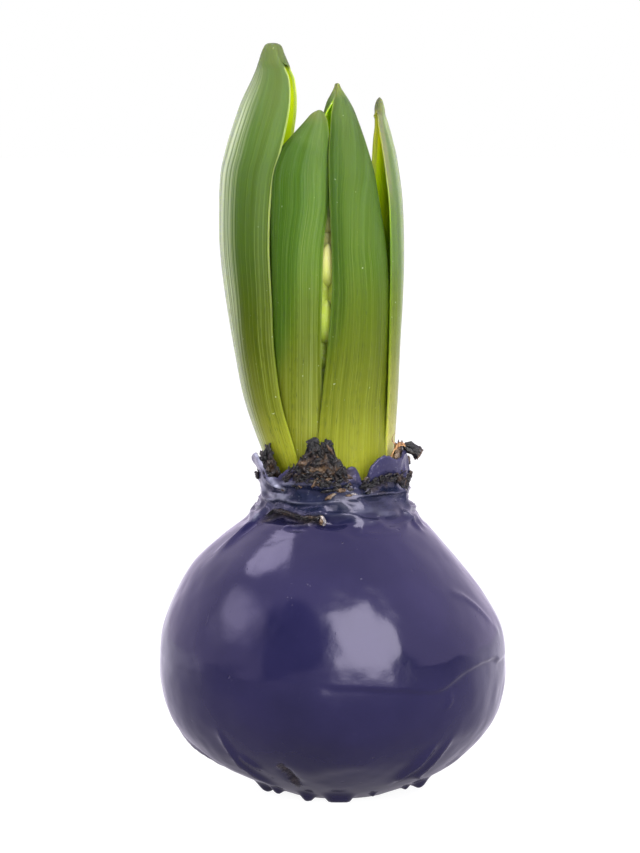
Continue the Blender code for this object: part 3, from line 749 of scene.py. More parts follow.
def wax_relief(azimuth, x, y, z):
    """How far the wax stands out from its plain form, square to itself."""
    reach = np.hypot(x, y)
    low = 1 - smoothstep(9, 24, z)
    relief = between(z, 1.5, 7, 50, 53) * (
        0.24 * rough(x / 12, y / 12, z / 14, 3)
        + (0.1 + 0.1 * low) * rough(x / 5.5, y / 5.5, z / 6.5, 4)
        + (0.03 + 0.04 * low) * rough(x / 2.4, y / 2.4, z / 2.8, 5)
    )
    # An upper coat ends in a low ledge.
    past = z - (round_line(DIP_LINE, azimuth) + 0.35 * rough(azimuth / 7, 0, 0, 8))
    strong = 0.04 + 0.32 * between(azimuth, 262, 287, 336, 356)
    strong = strong + 0.2 * bump(turn_between(azimuth, 335), 25)
    relief = relief + strong * smoothstep(-0.35, 0.35, past) * (1 - smoothstep(4, 20, past))
    for path, width, rise in RIDGES:
        away, share = from_path(azimuth, z, reach, path)
        fade = np.clip(4 * share * (1 - share) + 0.15, 0, 1)
        relief = relief + rise * fade * np.exp(-np.abs(away / width) ** 1.5)
    # Wavy folds round the neck.
    neck = smoothstep(49, 52.5, z) * (1 - 0.7 * smoothstep(57.5, 60, z))
    relief = relief + neck * (0.86 * (1 - 2 * np.abs(fold_wave(x, y, z))) - 0.34)
    relief = relief + neck * 0.08 * rough(x / 1.8, y / 1.8, z / 0.7, 23)
    # The torn lip on the shoulder, with a hollow under it.
    past = z - round_line(LIP, azimuth) - 0.15 * rough(azimuth / 1.7, 0, 0, 25)
    lip = 0.8 * between(past, -0.1, 0.16, 0.6, 2.2) - 0.55 * bump(past + 0.62, 0.55)
    return relief + between(azimuth, 212, 219, 259, 264) * lip


def make_wax_coat():
    steps, foot_rows = 390, 6
    skin = smooth_rows(OUTLINE, SKIN_ROWS)
    out = np.gradient(skin, axis=0)
    out /= np.linalg.norm(out, axis=1)[:, None]
    out = np.stack([out[:, 1], -out[:, 0]], 1)
    flat = np.linspace(0, FOOT_RADIUS, foot_rows + 1)[:-1]
    radius = column(np.concatenate([flat, skin[:, 0]]))
    height = column(np.concatenate([np.zeros(foot_rows), skin[:, 1]]))
    out = np.concatenate([np.tile([0, -1], (foot_rows, 1)), out])
    azimuth = np.arange(steps) * 360 / steps
    turn = np.radians(azimuth)
    a, r, z = (1 * v for v in np.broadcast_arrays(azimuth, radius, height))
    r = r + np.where((r > FOOT_RADIUS + 0.5) & (z < COLLAR_FOOT), swell(a, z), 0)
    relief = wax_relief(a, r * np.cos(turn), r * np.sin(turn), z) * smoothstep(0.5, 3, z)
    r = r + relief * out[:, :1]
    z = z + relief * out[:, 1:]
    # The torn edge stands at its own height all round, and curls out and in.
    above = height > COLLAR_FOOT
    c, s = np.cos(turn), np.sin(turn)
    rim = round_line(WAX_RIM, azimuth) - COLLAR_TOP
    rim = rim + 0.22 * rough(17 * c, 17 * s, 0, 5) + 0.16 * rough(44 * c, 44 * s, 0, 6)
    part = np.clip((z - COLLAR_FOOT) / (COLLAR_TOP - COLLAR_FOOT), 0, 1.1)
    lift = np.where(above, part * rim, 0)
    flare = value_on(FLARE, z + lift) - value_on(FLARE, z)
    z = z + lift
    r = r + np.where(above, flare, 0)
    curl = smoothstep(58, 62, z) * (0.45 * rough(azimuth / 13, 0, 0, 33) - 0.25)
    r = r + np.where(above, curl, 0)
    # Over the torn edge and a little way down inside.
    thick = WAX * (0.8 + 0.3 * rough(azimuth / 7, 0, 0, 31))
    over = column(np.linspace(0, math.pi, 7)[1:])
    down = r[-1:] * 0 + column(np.linspace(0.4, 6, 12))
    back = value_on(FLARE, z[-1] - down) - value_on(FLARE, z[-1])
    r = np.concatenate([r, r[-1] - 0.5 * thick * (1 - np.cos(over)), r[-1] - thick + back])
    z = np.concatenate([z, z[-1] + 0.35 * thick * np.sin(over), z[-1] - down])
    a = np.broadcast_to(azimuth, r.shape)
    # Drips under the foot.
    drop = 0
    for at, distance, size in DRIPS:
        away = np.hypot(np.radians(turn_between(a, at)) * r, 0.8 * (r - distance)) / size
        drop = drop + 1.05 * size * np.exp(-(away**2.4) * 1.3)
    outer = column(np.arange(len(r)) < len(radius))
    z = np.where(outer & (z < 14), np.maximum(0, z - drop), z)
    x = r * c + value_on(SWAY, z)
    y = r * s
    obj = mesh_object("wax_coat_skin", np.stack([x, y, z], -1), grid_faces(len(r), steps))
    # Where brown tunic or dirt shows in the wax, with painted shadow under the torn lip and the
    # deep dent darker inside.
    fleck = 0.5 + 0.5 * layered(x / 1.6, y / 1.6, z / 0.9, 3, 91)
    # Painted shadow in the hollow under the torn lip.
    soot_and_shadow = between(a, 210, 217, 259, 264) * bump(z - round_line(LIP, a) + 0.62, 0.72)
    crust = bump(z - 57.6 - 0.03 * (a - 300), 1.3) * smoothstep(0.42, 0.75, fleck)
    soot_and_shadow = soot_and_shadow + between(a, 288, 296, 340, 350) * crust
    torn = smoothstep(57.8, 60, z) * smoothstep(0.3, 0.6, fleck)
    soot_and_shadow = soot_and_shadow + between(a, 232, 244, 278, 290) * torn
    # The deep dent, darker inside.
    away = from_path(a, z, np.hypot(x, y), DENT)[0] + 0.35 * rough(x / 0.9, y / 0.9, z / 0.9, 92)
    soot_and_shadow = soot_and_shadow + 0.9 * (1 - smoothstep(0.45, 1.15, away))
    attribute(obj, "soot_and_shadow", np.clip(soot_and_shadow, 0, 1))
    # Paler on the crests of the folds, most on the left, and along the left fold: painted
    # highlight. Paler wax at the pointed tip of the torn edge.
    left = smoothstep(184, 196, a) * (1 - 0.75 * smoothstep(226, 262, a))
    crest = between(z, 50.5, 52.5, 58, 60) * smoothstep(0.2, 0.02, np.abs(fold_wave(x, y, z)))
    pale_wax_and_highlight = crest * (0.01 + 0.3 * left)
    away = from_path(a, z, np.hypot(x, y), LEFT_FOLD)[0]
    # Painted highlight along the left fold.
    pale_wax_and_highlight = pale_wax_and_highlight + 0.75 * np.exp(-((away / 0.55) ** 2))
    # Paler wax at the pointed tip of the torn edge.
    pale_wax_and_highlight = pale_wax_and_highlight + 0.8 * smoothstep(60, 61.6, z) * between(a, 196, 201, 208, 215)
    pale_wax_and_highlight = pale_wax_and_highlight * (0.45 + 0.55 * smoothstep(0.3, 0.6, fleck))
    attribute(obj, "pale_wax_and_highlight", np.clip(pale_wax_and_highlight, 0, 1))
    return obj


# ------ the tunic


def on_neck(azimuth, height, out=0):
    """A place on the neck's outer face, in millimetres, and its direction outwards."""
    if height > COLLAR_FOOT:
        r = value_on(FLARE, height)
    else:
        skin = smooth_rows(OUTLINE, SKIN_ROWS)
        r = np.interp(height, skin[:, 1], skin[:, 0])
    turn = math.radians(azimuth)
    away = np.array([math.cos(turn), math.sin(turn), 0])
    return np.array([value_on(SWAY, height), 0, height]) + away * (r + out), away


def tunic_lean(height):
    """How far the torn tongues stand out: they lean in."""
    return -1.9 * smoothstep(60.5, 66.5, height)


def make_tunic():
    """The dry neck of the bulb: a crumpled, torn tube, open round the leaves."""
    steps = 400
    azimuth = np.arange(steps) * 360 / steps
    c, s = np.cos(np.radians(azimuth)), np.sin(np.radians(azimuth))
    ragged = 0.55 * rough(15 * c, 15 * s, 0, 41) + 0.45 * rough(38 * c, 38 * s, 0, 42)
    edge = round_line(TUNIC_EDGE, azimuth) + ragged + 0.3 * rough(80 * c, 80 * s, 0, 43)
    up = column(np.linspace(0, 1, 64))
    foot = COLLAR_FOOT - 0.6
    z = foot + up * (edge - foot)
    line = value_on(FLARE, z) - WAX - GAP - 0.12
    px, py = line * c, line * s
    crumple = 1 - 2.2 * np.abs(layered(px / 1.9, py / 1.9, z / 1.5, 3, 51))
    crumple = 0.42 * crumple + 0.12 * rough(px / 0.6, py / 0.6, z / 0.5, 57)
    bulge = smoothstep(58, 60.5, z) * crumple
    bulge = bulge + 0.7 * between(azimuth, 224, 238, 280, 292) * smoothstep(58.5, 61, z)
    outer = line + bulge + tunic_lean(z)
    wall = TUNIC * (0.8 - 0.35 * up)
    r = np.concatenate([outer, (outer - wall)[::-1]])
    z = np.concatenate([z, (z - 0.1 * up)[::-1]])
    points = np.stack([r * c + value_on(SWAY, z), r * s, z], -1)
    obj = mesh_object("tunic_neck", points, grid_faces(len(points), steps))
    tone = 0.42 + 0.25 * layered(points[..., 0] / 2.2, points[..., 1] / 2.2, z / 1.2, 2, 71)
    tone = tone - 0.3 * smoothstep(0.75, 1, np.concatenate([up, up[::-1]]))
    attribute(obj, "tone", tone)
    return obj


class Heap:
    """Many small solids gathered in one mesh, each with its own tone.

    A spot is a place and the direction outwards there. Spin turns a bit about that direction.
    """

    def __init__(self):
        self.points, self.faces, self.tones, self.count = [], [], [], 0

    def add(self, points, faces, tone):
        self.points.append(points)
        self.faces += [[i + self.count for i in face] for face in faces]
        self.tones.append(tone)
        self.count += len(points)

    def seated(self, local, spot, spin):
        """Points given along the skin, up it and out of it, put in their place."""
        centre, away = spot
        up = np.array([0, 0, 1])
        side = np.cross(up, away)
        side /= np.linalg.norm(side)
        c, s = math.cos(spin), math.sin(spin)
        return centre + local @ np.stack([c * side + s * up, -s * side + c * up, away], 0)

    def crumb(self, spot, size, spin, seed, tone, rows=9, columns=12, jag=1):
        """A charred, jagged bit: size is (along, up, out) half lengths."""
        lift, turn = column(0.5 * math.pi * np.linspace(-1, 1, rows)), circle(columns)
        ball = (np.cos(lift) * np.cos(turn), np.cos(lift) * np.sin(turn), np.sin(lift))
        ball = np.stack(np.broadcast_arrays(*ball), -1).reshape(-1, 3)
        q = (ball * 1.5 + seed * 7.31).T
        shape = 1 + jag * (
            0.42 * rough(*q, 201)
            + 0.3 * (1 - 2.4 * np.abs(rough(*(q * 2.1), 202)))
            + 0.16 * rough(*(q * 4.3), 203)
        )
        points = self.seated(ball * column(shape) * np.array(size), spot, spin)
        self.add(points, grid_faces(rows, columns), tone + 0.18 * (shape - 1))

    def flake(self, spot, size, spin, seed, tone, curl, tilt, thick):
        """A thin torn scrap: size is (along, up); curl bends it and tilt leans it out."""
        rows, columns = 13, 9
        v = column(np.linspace(-1, 1, rows))
        u = np.linspace(-1, 1, columns)
        wide = size[0] * np.sqrt(np.maximum(1 - np.abs(v) ** 3, 0.02))
        wide = wide * (1 + 0.35 * rough(v * 2.3 + seed, 0, seed * 1.7, 211))
        x = u * wide + 0.25 * size[0] * rough(v * 1.7, seed * 2.1, 0, 212)
        y = size[1] * v * (1 + 0.22 * rough(u * 1.9 + seed, 0, 3, 213))
        z = -curl * x * x / max(size[0], 0.1) + tilt * (y + size[1])
        z = z + 0.3 * rough(x * 1.4 + seed, y * 1.4, 0, 214) * min(size)
        z = z + 0.12 * rough(x * 3.3 + seed, y * 3.3, 0, 215)
        half = 0.5 * thick * (1 - 0.5 * np.abs(v))
        ring = np.stack([x, y, z + half], -1), np.stack([x, y, z - half], -1)[:, ::-1]
        ring = np.concatenate(ring, 1).reshape(-1, 3)
        shade = tone + 0.15 * rough(ring[:, 0] * 1.5, ring[:, 1] * 1.5, seed, 216)
        self.add(self.seated(ring, spot, spin), tube_faces(rows, 2 * columns), shade)

    def ribbon(self, path, out, half_up, half_out, seed, tone):
        """A ragged cord along a path: path and out are one row for each ring."""
        count, around = len(path), 12
        v, t = column(np.linspace(0, 1, count)), circle(around)
        taper = smoothstep(0, 0.12, v) * (1 - 0.6 * smoothstep(0.93, 1, v)) + 0.06
        frayed = taper * (1 + 0.32 * layered(26 * v, np.cos(t), np.sin(t) + seed, 3, 221))
        ring = path[:, None] + (half_out * frayed * np.cos(t))[..., None] * out[:, None]
        ring[..., 2] += half_up * frayed * np.sin(t)
        shade = column(tone) + 0.1 * layered(40 * v, np.cos(t), np.sin(t), 2, 222)
        self.add(ring.reshape(-1, 3), tube_faces(count, around), shade.ravel())

    def made(self, name):
        obj = mesh_object(name, np.concatenate(self.points), self.faces)
        attribute(obj, "tone", np.concatenate(self.tones))
        return obj


# Torn scraps, given one by one: (azimuth, height, half width, half length, spin, tone), some
# with their own tilt at the end.
LEFT_SCRAPS = [
    (206, 62, 1.5, 2.6, 0.1, 0.1), (210, 61.6, 1.3, 2.2, -0.15, 0.22),
    (203, 61.4, 1, 2.2, 0.3, 0.12), (214, 60.4, 1, 1.7, -0.35, 0.26),
    (208, 63.9, 0.7, 1.2, 0.35, 0.05),
]
STUB_SCRAPS = [
    (329, 62.2, 0.7, 2.2, -0.5, 0.5), (333.5, 62.9, 0.8, 2.4, -0.35, 0.62),
    (338, 63.2, 0.6, 2.2, -0.15, 0.45), (324, 61.4, 0.5, 1.7, -0.7, 0.4),
    (342, 62.4, 0.7, 2, 0.1, 0.3), (337, 64.6, 0.3, 1.3, 0.15, 0.15),
]
RIGHT_SCRAPS = [
    (331, 58.4, 0.5, 1.6, 0.75, 0.1, 0.15), (335, 57.2, 0.5, 1.6, 0.45, 0.2, 0.2),
    (339, 59, 0.4, 1.2, 0.2, 0.12, 0.35), (326, 59, 0.5, 1, 1, 0.22, 0.1),
    (337, 55.6, 0.4, 1, 0.1, 0.08, 0.25), (344, 57.8, 0.5, 1.2, -0.2, 0.18, 0.2),
]
LIP_CURL = [
    (262, 52.5, 0.42, 0.7, 0.5, 1), (263.5, 51.9, 0.35, 0.6, -0.3, 0.75),
    (261, 52, 0.3, 0.55, 0.2, 0.55),
]
# The black knobs on the front tongue: (azimuth, height, out, half lengths, tone).
KNOBS = [
    (254.5, 65.9, 0.5, (0.8, 0.8, 0.7), 0.02), (257, 66.5, 0.4, (0.75, 0.7, 0.6), 0),
    (256, 64.7, 0.8, (0.9, 0.75, 0.6), 0.06), (260.5, 65.2, 0.6, (0.7, 0.65, 0.6), 0.04),
    (264.5, 65.8, 0.6, (0.7, 0.55, 0.6), 0.03), (268, 66.1, 0.4, (0.6, 0.7, 0.5), 0.02),
    (267.5, 64.9, 0.7, (0.75, 0.6, 0.5), 0.08), (262, 64.2, 0.8, (0.8, 0.55, 0.5), 0.1),
]
# Odd scraps stuck to the folds below: (azimuth, height, half lengths, spin, tone).
FOLD_BITS = [
    (266, 56.4, (0.9, 0.3, 0.22), 0.5, 0.55), (263, 57.4, (1, 0.26, 0.22), 0.2, 0.1),
    (270.5, 57.8, (0.9, 0.22, 0.22), 0.4, 0.12), (281, 56.7, (0.9, 0.22, 0.22), 0.1, 0.45),
    (284, 56.9, (0.5, 0.18, 0.22), 0, 0.9),
]
# The tones that crumbs take by chance.
CHARRED = (0.01, 0.03, 0.05, 0.08, 0.12, 0.16)


def make_crumbs():
    """Charred crumbs and scraps on the torn tunic. The order of the random draws matters."""
    chance = random.Random(23)
    pick = chance.uniform
    heap = Heap()

    def seed():
        return chance.random() * 9

    def on_tunic(azimuth, height, out):
        return on_neck(azimuth, height, tunic_lean(height) - WAX - GAP + out)

    def scraps(rows, seat, out, curl, tilt, thick):
        for azimuth, height, wide, tall, spin, tone, *own in rows:
            lean = own[0] if own else tilt
            spot = seat(azimuth, height, out)
            heap.flake(spot, (wide, tall), spin, seed(), tone, curl, lean, thick)

    for azimuth, height, out, size, tone in KNOBS:
        spot = on_tunic(azimuth, height, out)
        heap.crumb(spot, size, pick(0, 3), seed(), tone, 16, 22)
    # Papery strips and lumps over the rest of the tongue, browner to the right.
    for _ in range(74):
        azimuth = pick(231, 282)
        height = pick(59, max(float(round_line(TUNIC_EDGE, azimuth)) - 0.8, 59.8))
        spot = on_tunic(azimuth, height, pick(0.5, 1.15))
        big = pick(0.3, 0.7)
        right = max(0, (azimuth - 246) / 34)
        tone = 0.03 + 0.3 * right * chance.random() + 0.1 * chance.random()
        if chance.random() < 0.35:
            size = (big * pick(0.8, 1.5), big * pick(0.5, 0.8), 0.4 * big + 0.12)
            heap.crumb(spot, size, pick(-0.8, 0.8), seed(), tone, 11, 14, 1.3)
        else:
            size = (0.4 * big, 2.4 * big)
            spin = pick(-1.4, -0.7) if azimuth < 258 else pick(0.1, 1)
            heap.flake(
                spot, size, spin, seed(), tone + 0.08, pick(-0.9, 0.9), pick(-0.3, 0.6), 0.14
            )
    # Dark crumbs along the foot of the tongue, over the edge of the wax.
    for _ in range(96):
        azimuth = chance.gauss(257, 13.5)
        height = 59.7 + pick(-1.4, 1.2) - 0.0022 * (azimuth - 257) ** 2
        spot = on_neck(azimuth, height, pick(-0.1, 0.35))
        big = pick(0.16, 0.42)
        size = (big * pick(0.8, 1.9), big * pick(0.5, 1), 0.6 * big)
        spin = pick(-0.8, 0.8)
        heap.crumb(spot, size, spin, seed(), chance.choice((*CHARRED, 0.22, 0.5)), jag=1.4)
    # The dry scrap that stands up against the left leaf.
    scraps(LEFT_SCRAPS, on_tunic, out=0.55, curl=0.25, tilt=-0.1, thick=0.22)
    for _ in range(26):
        azimuth, height = chance.gauss(208.5, 4), pick(59, 64.6)
        spot = on_tunic(azimuth, height, pick(0.5, 1))
        big = pick(0.2, 0.45)
        tone = chance.choice((0.03, 0.08, 0.14, 0.3))
        heap.crumb(spot, (big, big * 1.5, 0.7 * big), 0.2, seed(), tone)
    # Scraps and fibres where the dry stub comes off on the right.
    scraps(STUB_SCRAPS, on_tunic, out=0.5, curl=0.4, tilt=-0.05, thick=0.18)
    # The grey crust that runs round the right of the neck under the wax's torn edge.
    for _ in range(96):
        share = chance.random()
        height = 58.3 + 1.3 * math.sin(2.6 * share) - 3.2 * max(0, share - 0.75)
        height += chance.gauss(0, 0.42)
        spot = on_neck(291 + 50 * share, height, pick(-0.05, 0.35))
        big = pick(0.16, 0.38)
        wide, tall = big * pick(0.9, 2), big * pick(0.5, 1)
        tone = chance.choice((*CHARRED, 0.3))
        if chance.random() < 0.6:
            heap.crumb(spot, (wide, tall, 0.7 * big), 0.3, seed(), tone)
        else:
            size, spin = (wide * 1.2, tall * 1.5), pick(-1.2, 1.2)
            heap.flake(spot, size, spin, seed(), tone, pick(-0.8, 0.8), pick(0, 0.9), 0.12)
    scraps(RIGHT_SCRAPS, on_neck, out=0.15, curl=0.6, tilt=0, thick=0.2)
    for azimuth, height, size, spin, tone in FOLD_BITS:
        heap.crumb(on_neck(azimuth, height, 0.28), size, spin, seed(), tone, 11, 14)
    # Crumbs round the back.
    for _ in range(70):
        azimuth = pick(-15, 190)
        low = chance.random() < 0.45
        top = float(round_line(TUNIC_EDGE, azimuth))
        height = pick(58, 59.6) if low else top - pick(0, 1.8)
        spot = on_neck(azimuth, height, pick(-0.1, 0.3) if low else pick(-0.9, -0.5))
        big = pick(0.25, 0.6)
        size = (big * pick(0.8, 1.5), big * pick(0.6, 1.1), 0.6 * big)
        tone = chance.choice((0.04, 0.08, 0.14, 0.3, 0.55))
        heap.crumb(spot, size, pick(-1, 1), seed(), tone)
    # The brown edge of the torn lip on the shoulder, and the pale curl at its end.
    for low, deep, out, thin, tone in ((0.1, 1, 0.62, 0.22, 0.1), (-0.22, 0.6, 0.42, 0.2, 0.02)):
        turn = np.linspace(214, 262, 90)
        level = round_line(LIP, turn) + low + 0.16 * rough(turn / 3.1, low, 0, 231)
        spots = [on_neck(a, z, out + 0.14 * math.sin(0.31 * a)) for a, z in zip(turn, level)]
        path, away = (np.array(part) for part in zip(*spots))
        shade = tone + 0.16 * deep * smoothstep(240, 262, turn)
        heap.ribbon(path, away, thin, 0.42 * deep, low, shade)
    for _ in range(12):
        azimuth = pick(226, 261)
        spot = on_neck(azimuth, float(round_line(LIP, azimuth)) + pick(-0.35, 0.25), 0.7)
        size = (pick(0.3, 0.7), pick(0.1, 0.18))
        tone = chance.choice((0.04, 0.12, 0.3, 0.4))
        heap.flake(spot, size, pick(-0.2, 0.2), seed(), tone, 0.2, 0.5, 0.14)
    scraps(LIP_CURL, on_neck, out=0.35, curl=0.8, tilt=0.3, thick=0.2)
    return heap.made("tunic_crumbs")


def cross_ways(along):
    """Two directions square to this one and to each other."""
    side = np.cross(along, [0, 1, 0])
    side /= np.linalg.norm(side, axis=-1, keepdims=True)
    return side, np.cross(along, side)


def make_stub():
    """The curled, dried stub of a leaf on its fibre: a wrinkled roll, open at the end."""
    rows, columns = 34, 30
    v, t = column(np.linspace(0, 1, rows)), circle(columns)
    c, s = np.cos(t), np.sin(t)
    start, end = np.array([13.1, -5.7, 65]), np.array([16.1, -5.3, 63.2])
    along = (end - start) / np.linalg.norm(end - start)
    side, other = cross_ways(along)
    wrinkle = np.cos(5 * t + 3 * v)
    fold = 0.17 * wrinkle + 0.1 * np.cos(9 * t - 4 * v)
    fold = fold + 0.2 * layered(2.2 * c, 2.2 * s, 3 * v, 3, 301)
    ring = (0.38 + 0.42 * smoothstep(0, 0.3, v) + 0.18 * smoothstep(0.7, 1, v)) * (1 + fold)
    out = v + 0.08 * rough(2 * c, 2 * s, 0 * v, 302) * smoothstep(0.6, 1, v)
    axis = start + out[..., None] * (end - start) + (0.15 * np.sin(math.pi * v))[..., None] * side
    shell = axis + (ring * c)[..., None] * side * 1.15 + (ring * s)[..., None] * other * 0.8
    # The open end turns back down inside the roll.
    inner = [
        axis[-1] - along * depth * 4 + (shell[-1] - axis[-1]) * scale
        for depth, scale in ((0.02, 0.8), (0.1, 0.66), (0.25, 0.55), (0.32, 0.2))
    ]
    cap = [axis[0] + (shell[0] - axis[0]) * scale for scale in (0.15, 0.6)]
    points = np.concatenate([cap, shell, inner])
    obj = mesh_object("dry_stub", points, grid_faces(len(points), columns))
    tone = np.full(points.shape[:2], 0.1)
    # Painted shade: darker in the troughs of the wrinkles and lighter on their crests.
    tone[len(cap) : len(cap) + rows] += 0.1 * wrinkle
    tone[rows - 1 : rows + 3] = 0.35
    attribute(obj, "tone", tone)
    return obj


def make_strand():
    """The orange-brown fibres that the stub hangs on."""
    chance = random.Random(5)
    points, faces = [], []
    rows, columns = 26, 10
    v, t = np.linspace(0, 1, rows), circle(columns)[None, :, None]
    main = [
        (11, -5.6, 60.4), (11.4, -5.8, 62.6), (11.7, -5.9, 64.3), (12.4, -5.9, 65.3),
        (13.4, -5.7, 65),
    ]
    low = [(10.4, -6.6, 60.6), (10.9, -6.5, 62.4), (11.6, -6.3, 64.2), (12.8, -6, 65.1)]
    free = [
        (11.5, -5.3, 61), (11.7, -5.4, 63), (11.5, -5.5, 64.8), (11.3, -5.6, 66.2),
        (11.2, -5.6, 67.2),
    ]
    for path, stray, wide, taper in (
        (main, 0, 0.38, 0.35),
        (main, 0.34, 0.19, 0.35),
        (main, 0.34, 0.19, 0.35),
        (low, 0.34, 0.19, 0.35),
        (free, 0.34, 0.22, 0.9),
    ):
        path = [[p + chance.uniform(-stray, stray) for p in place] for place in path]
        line = smooth_rows(path, rows)
        along = np.gradient(line, axis=0)
        along /= np.linalg.norm(along, axis=1)[:, None]
        side, other = (way[:, None] for way in cross_ways(along))
        thin = (wide * (1 - taper * v))[:, None, None]
        faces += tube_faces(rows, columns, rows * columns * len(points))
        points.append(line[:, None] + thin * (np.cos(t) * side + np.sin(t) * other))
    return mesh_object("strand", np.concatenate(points), faces)


# ------ leaves

# A distance from a crease that is as good as none.
NO_FOLD = 9.0


def slant(azimuth):
    """Nearly the cotangent, and nothing at the sides."""
    turn = np.radians(azimuth)
    return np.sin(turn) * np.cos(turn) / (np.sin(turn) ** 2 + 0.06)


def make_leaf(name, rows):
    """A fleshy cupped leaf with rounded margins, as rings of points up its length."""
    levels, across = 150, 41
    cuts = smooth_rows(rows, levels)
    height, cx, cy, radius, start, end = (cuts[:, i : i + 1] for i in range(6))
    u = np.linspace(-1, 1, across)
    thick = np.minimum(EDGE + (LEAF - EDGE) * (1 - np.abs(u) ** 2.2), 0.8 * radius)
    near_start, near_end, low, high = HUG[name]
    hug = np.where(u < 0, near_start, near_end) * (1 - smoothstep(low, high, height))
    sink = np.minimum(0.9 * (LEAF - thick), 0.11 * radius) * hug
    # Seen from the front, a margin that leans in stays where it was.
    lean = np.degrees(sink / radius)
    start = start - lean[:, :1] * slant(start)
    end = end - lean[:, -1:] * slant(end)
    share = 0.5 * (u + 1)
    turn = start + (end - start) * share
    arc = np.radians(np.abs(end - start)) * radius
    edge = 0.5 * (1 - np.abs(u)) * arc
    # A soft crease runs up some leaves, and the flesh stands a little proud of it.
    ridge = np.zeros((levels, across))
    fold = ridge + NO_FOLD
    if name in CREASES:
        at, rise, wide = CREASES[name]
        fold = (share - value_on(at, height)) * arc
        fade = smoothstep(at[0][0] - 26, at[0][0] + 10, height)
        fade = fade * (1 - smoothstep(-9, 0, height - rows[-1][0]))
        ridge = rise * fade * np.exp(-np.abs(fold) / wide)
        fold = fold * fade + NO_FOLD * (1 - fade)
    # Out along the back, round one margin, back along the inside and round the other.
    half = 0.5 * thick[:, -1:]
    bend = np.linspace(0, math.pi, 6)[1:-1]
    bulge = np.degrees(half * np.sin(bend) / np.maximum(radius - half, 0.2)) * np.sign(end - start)
    curve = half * np.cos(bend)
    middle_end, middle_start = radius - sink[:, -1:] - half, radius - sink[:, :1] - half
    rings = [
        [radius - sink + ridge, turn, share, 0, edge, fold],
        [middle_end + curve, end + bulge, 1, 0.5, 0, NO_FOLD],
        [radius - sink - thick, turn, share, 1, edge, fold],
        [middle_start - curve, start - bulge, 0, 0.5, 0, NO_FOLD],
    ]
    rings = [[np.broadcast_to(part, ring[0].shape) for part in ring] for ring in rings]
    rings[2] = [part[:, ::-1] for part in rings[2]]
    r, turn, share, inside, edge, fold = (np.concatenate(part, 1) for part in zip(*rings))
    turn = np.radians(turn)
    x = cx + r * np.cos(turn)
    y = cy + r * np.sin(turn)
    z = np.broadcast_to(height, r.shape)
    # Nothing that grows is quite even.
    wander = 0.14 * smoothstep(62, 74, z)
    x = x + wander * rough(x / 5, y / 5, z / 14, 61)
    y = y + wander * rough(x / 5, y / 5, z / 14, 62)
    points = np.stack([x, y, z], -1)
    # The tip closes over in three smaller rings.
    last, size = points[-1], r.shape[1]
    middle = last.mean(0)
    for scale, up in ((0.86, 0.05), (0.6, 0.1), (0.3, 0.13)):
        ring = middle + (last - middle) * scale
        ring[:, 2] = last[:, 2] + up
        points = np.concatenate([points, ring[None]])
    faces = grid_faces(len(points), size)
    top = len(points) * size
    for j in range(size):
        k = (j + 1) % size
        faces += [(top - size + j, top - size + k, top), (k, j, top + 1)]
    flat = points.reshape(-1, 3)
    flat = np.concatenate([flat, [middle + [0, 0, 0.15], flat[:size].mean(0)]])
    obj = mesh_object(name + "_skin", flat, faces)

    def capped(values, added, ends):
        """With the tip's rings, its top point and the foot's point."""
        return np.concatenate([values.ravel(), *(values[-1] + added,) * 3, ends])

    along = np.broadcast_to(column(np.linspace(0, 1, levels)), r.shape)
    uv_map(obj, "leaf", np.stack([capped(share, 0, (0.5, 0.5)), capped(along, 0, (1, 0))], -1))
    attribute(obj, "inside", capped(inside, 0, (0, 0)))
    attribute(obj, "edge", capped(edge, 1, (3, 3)))
    attribute(obj, "fold", capped(fold, 0, (NO_FOLD, NO_FOLD)))
    attribute(obj, "tip", np.concatenate([cuts[-1, 0] - flat[:-2, 2], [0, 90]]))
    return obj


# ------ the spike


def make_spike():
    """Stem and closed buds, each bud with the shallow grooves between its tepals."""
    levels, around = 60, circle(32)
    height, cx, cy, reach = smooth_rows(SPIKE, levels).T[..., None]
    wide = np.maximum(0.62 * reach, np.where(height < 103, STEM_RADIUS, 0.8))
    wide = wide * (1 + 0.04 * np.cos(7 * around))
    core = (cx + wide * np.cos(around), cy + wide * np.sin(around), height)
    points = [np.stack(np.broadcast_arrays(*core), -1).reshape(-1, 3)]
    faces = tube_faces(levels, len(around), turned=False)
    groove = [np.full(len(points[0]), 0.25)]
    count = len(points[0])
    chance = random.Random(7)
    rows, columns = 22, 30
    t, h = circle(columns), column(np.sin(0.5 * math.pi * np.linspace(-1, 1, rows)))
    body = np.sqrt(np.maximum(1 - h * h, 0)) * (1 - 0.22 * h)
    for level, many, first, size in WHORLS:
        sx, sy, reach = spline(SPIKE, level)
        for i in range(many):
            azimuth = math.radians(first + 360 * i / many + chance.uniform(-4, 4))
            out = max(reach - 0.5 * BUD_WIDTH * size, 0) if many > 1 else 0
            lean = math.radians(14 if many > 4 else 6)
            spin = Matrix.Rotation(azimuth, 3, "Z") @ Matrix.Rotation(lean, 3, "Y")
            dent = 1 - (1 - np.abs(np.cos(1.5 * t + 0.6 * i)) ** 0.5) * smoothstep(-0.9, 0.2, h)
            w = 0.5 * BUD_WIDTH * size * body * (0.9 + 0.1 * dent)
            egg = np.broadcast_arrays(w * np.cos(t), w * np.sin(t), 0.5 * BUD_LENGTH * size * h)
            centre = [sx + out * math.cos(azimuth), sy + out * math.sin(azimuth), level]
            points.append(np.stack(egg, -1).reshape(-1, 3) @ np.array(spin).T + centre)
            groove.append((1 - dent).ravel())
            faces += grid_faces(rows, columns, count)
            count += rows * columns
    obj = mesh_object("flower_spike_buds", np.concatenate(points), faces)
    attribute(obj, "groove", np.concatenate(groove))
    return obj


# ------ stage

# The photograph's frame is this high, and its lens this long, in pixels.
FRAME_HEIGHT = 853.0
FOCAL_LENGTH = 4066.0
